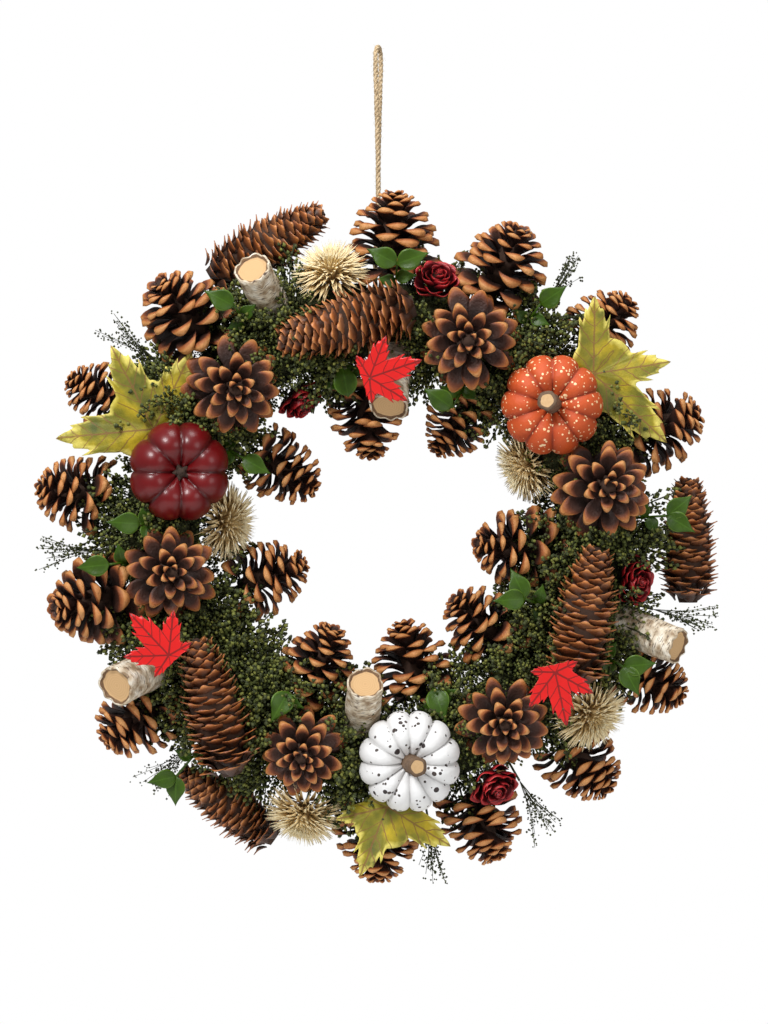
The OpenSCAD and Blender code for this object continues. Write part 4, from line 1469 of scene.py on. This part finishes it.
def box_colour(net):
    across, along = net.value("across"), net.value("along")
    green = net.mix(net.noise(0.006, 3), (0.014, 0.040, 0.001), (0.055, 0.120, 0.002))
    rim = net.ramp(across, (0.86, (0, 0, 0)), (0.97, (1, 1, 1)))
    vein = across < 0.06
    return net.mix(vein * 0.5, net.mix(rim * 0.8, green, (0.11, 0.20, 0.02)), (0.06, 0.14, 0.01))


box_finish = finish_material("box_leaf", box_colour, 0.42, lambda net: net.noise(0.002, 3), 0.0002,
                             Specular_IOR_Level=0.3)
box_blade = blade(10, 8, box_width, box_rise, lambda t: 0.035, 0.25)
box_heap = Heap()
sprig_turn = np.random.default_rng(12)


def set_leaf(root, way, face, length):
    """A box leaf from its root along a way, with its upper side towards face."""
    points, faces, along, across = box_blade
    x = Vector(way).normalized()
    z = (Vector(face) - x * Vector(face).dot(x)).normalized()
    turn = np.array(Matrix((x, z.cross(x), z)).transposed())
    box_heap.add(np.array(root) + (points * length) @ turn.T, faces, along=along, across=across)


for points, triangles in solid_parts("box_sprigs"):
    outline, normal = front_outline(points, triangles)
    start, end = wire_of(points, outline, normal)
    in_plane = points - end - np.outer((points - end) @ normal, normal)
    reach = np.linalg.norm(in_plane, axis=1) * (np.abs((points - end) @ normal) < 0.0015)
    ways = []
    for way in in_plane[reach > reach.max() * 0.985]:
        way = way / np.linalg.norm(way)
        if all(way @ other < 0.9 for other in ways):
            ways.append(way)
    for way in ways:
        set_leaf(end, way + normal * sprig_turn.uniform(-0.1, 0.35), normal, reach.max() * 1.08)
    stem_way = (end - start) / np.linalg.norm(end - start)
    for share, angle, size in LOWER_LEAVES:
        side = np.cross(stem_way, normal)
        side /= np.linalg.norm(side)
        way = stem_way * math.cos(math.radians(angle)) + side * math.sin(math.radians(angle))
        set_leaf(start + (end - start) * share, way + normal * 0.2, normal, reach.max() * size)
    box_heap.add(*tube_along(np.linspace(start, end, 5), [0.0008, 0.0008, 0.0007, 0.0006, 0.0006], 6),
                 along=0.5, across=0.5)
box_leaves = box_heap.piece("box_leaves", box_finish)
upright = bmesh.new()
upright.from_mesh(box_leaves.data)
bmesh.ops.recalc_face_normals(upright, faces=upright.faces)
upright.to_mesh(box_leaves.data)
upright.free()
rides(box_leaves, "wreath", "box_leaf", "box_sprigs")

# ---- Dried sprays ----------------------------------------------------------------------------
# Airy dried seed heads that stick out at the rim: hair-thin branching stalks with tiny beads.

STALKS_PER_SPRAY = 11
SPRAY_SPREAD = 0.011
spray_heap = Heap()
spray_turn = np.random.default_rng(17)
for points, triangles in solid_parts("dried_sprays"):
    far = straw_distance(points)
    tip, low = points[far > far.max() - 0.001].mean(0), points[far < far.min() + 0.0012].mean(0)
    way = (tip - low) / np.linalg.norm(tip - low)
    side = np.cross(way, (0, 1, 0.1))
    side /= np.linalg.norm(side)
    other = np.cross(way, side)
    fork = low + (tip - low) * 0.45
    spray_heap.add(*tube_along(np.linspace(low, fork, 5), [0.0006] * 5, 5), shade=0.1)
    for _ in range(STALKS_PER_SPRAY):
        turn = spray_turn.uniform(0, 2 * math.pi)
        out = SPRAY_SPREAD * math.sqrt(spray_turn.uniform(0.05, 1))
        fan = side * math.cos(turn) + other * math.sin(turn) * 0.6
        end = tip - way * spray_turn.uniform(0, 0.012) + fan * out
        stalk = smooth_line([fork, fork + (tip - fork) * 0.5 + (end - tip) * 0.35, end], 0.0022)
        spray_heap.add(*tube_along(stalk, [0.00016] * len(stalk), 3), shade=0.15)
        for spot in stalk[len(stalk) // 3:]:
            for _ in range(2):
                off = spray_turn.normal(0, 0.0012, 3)
                size = spray_turn.uniform(0.0004, 0.00075)
                spray_heap.add(*bead(spot + off, size), shade=spray_turn.uniform(0, 0.7))
rides(spray_heap.piece("spray_stalks", moss), "wreath", "dried_spray", "dried_sprays")
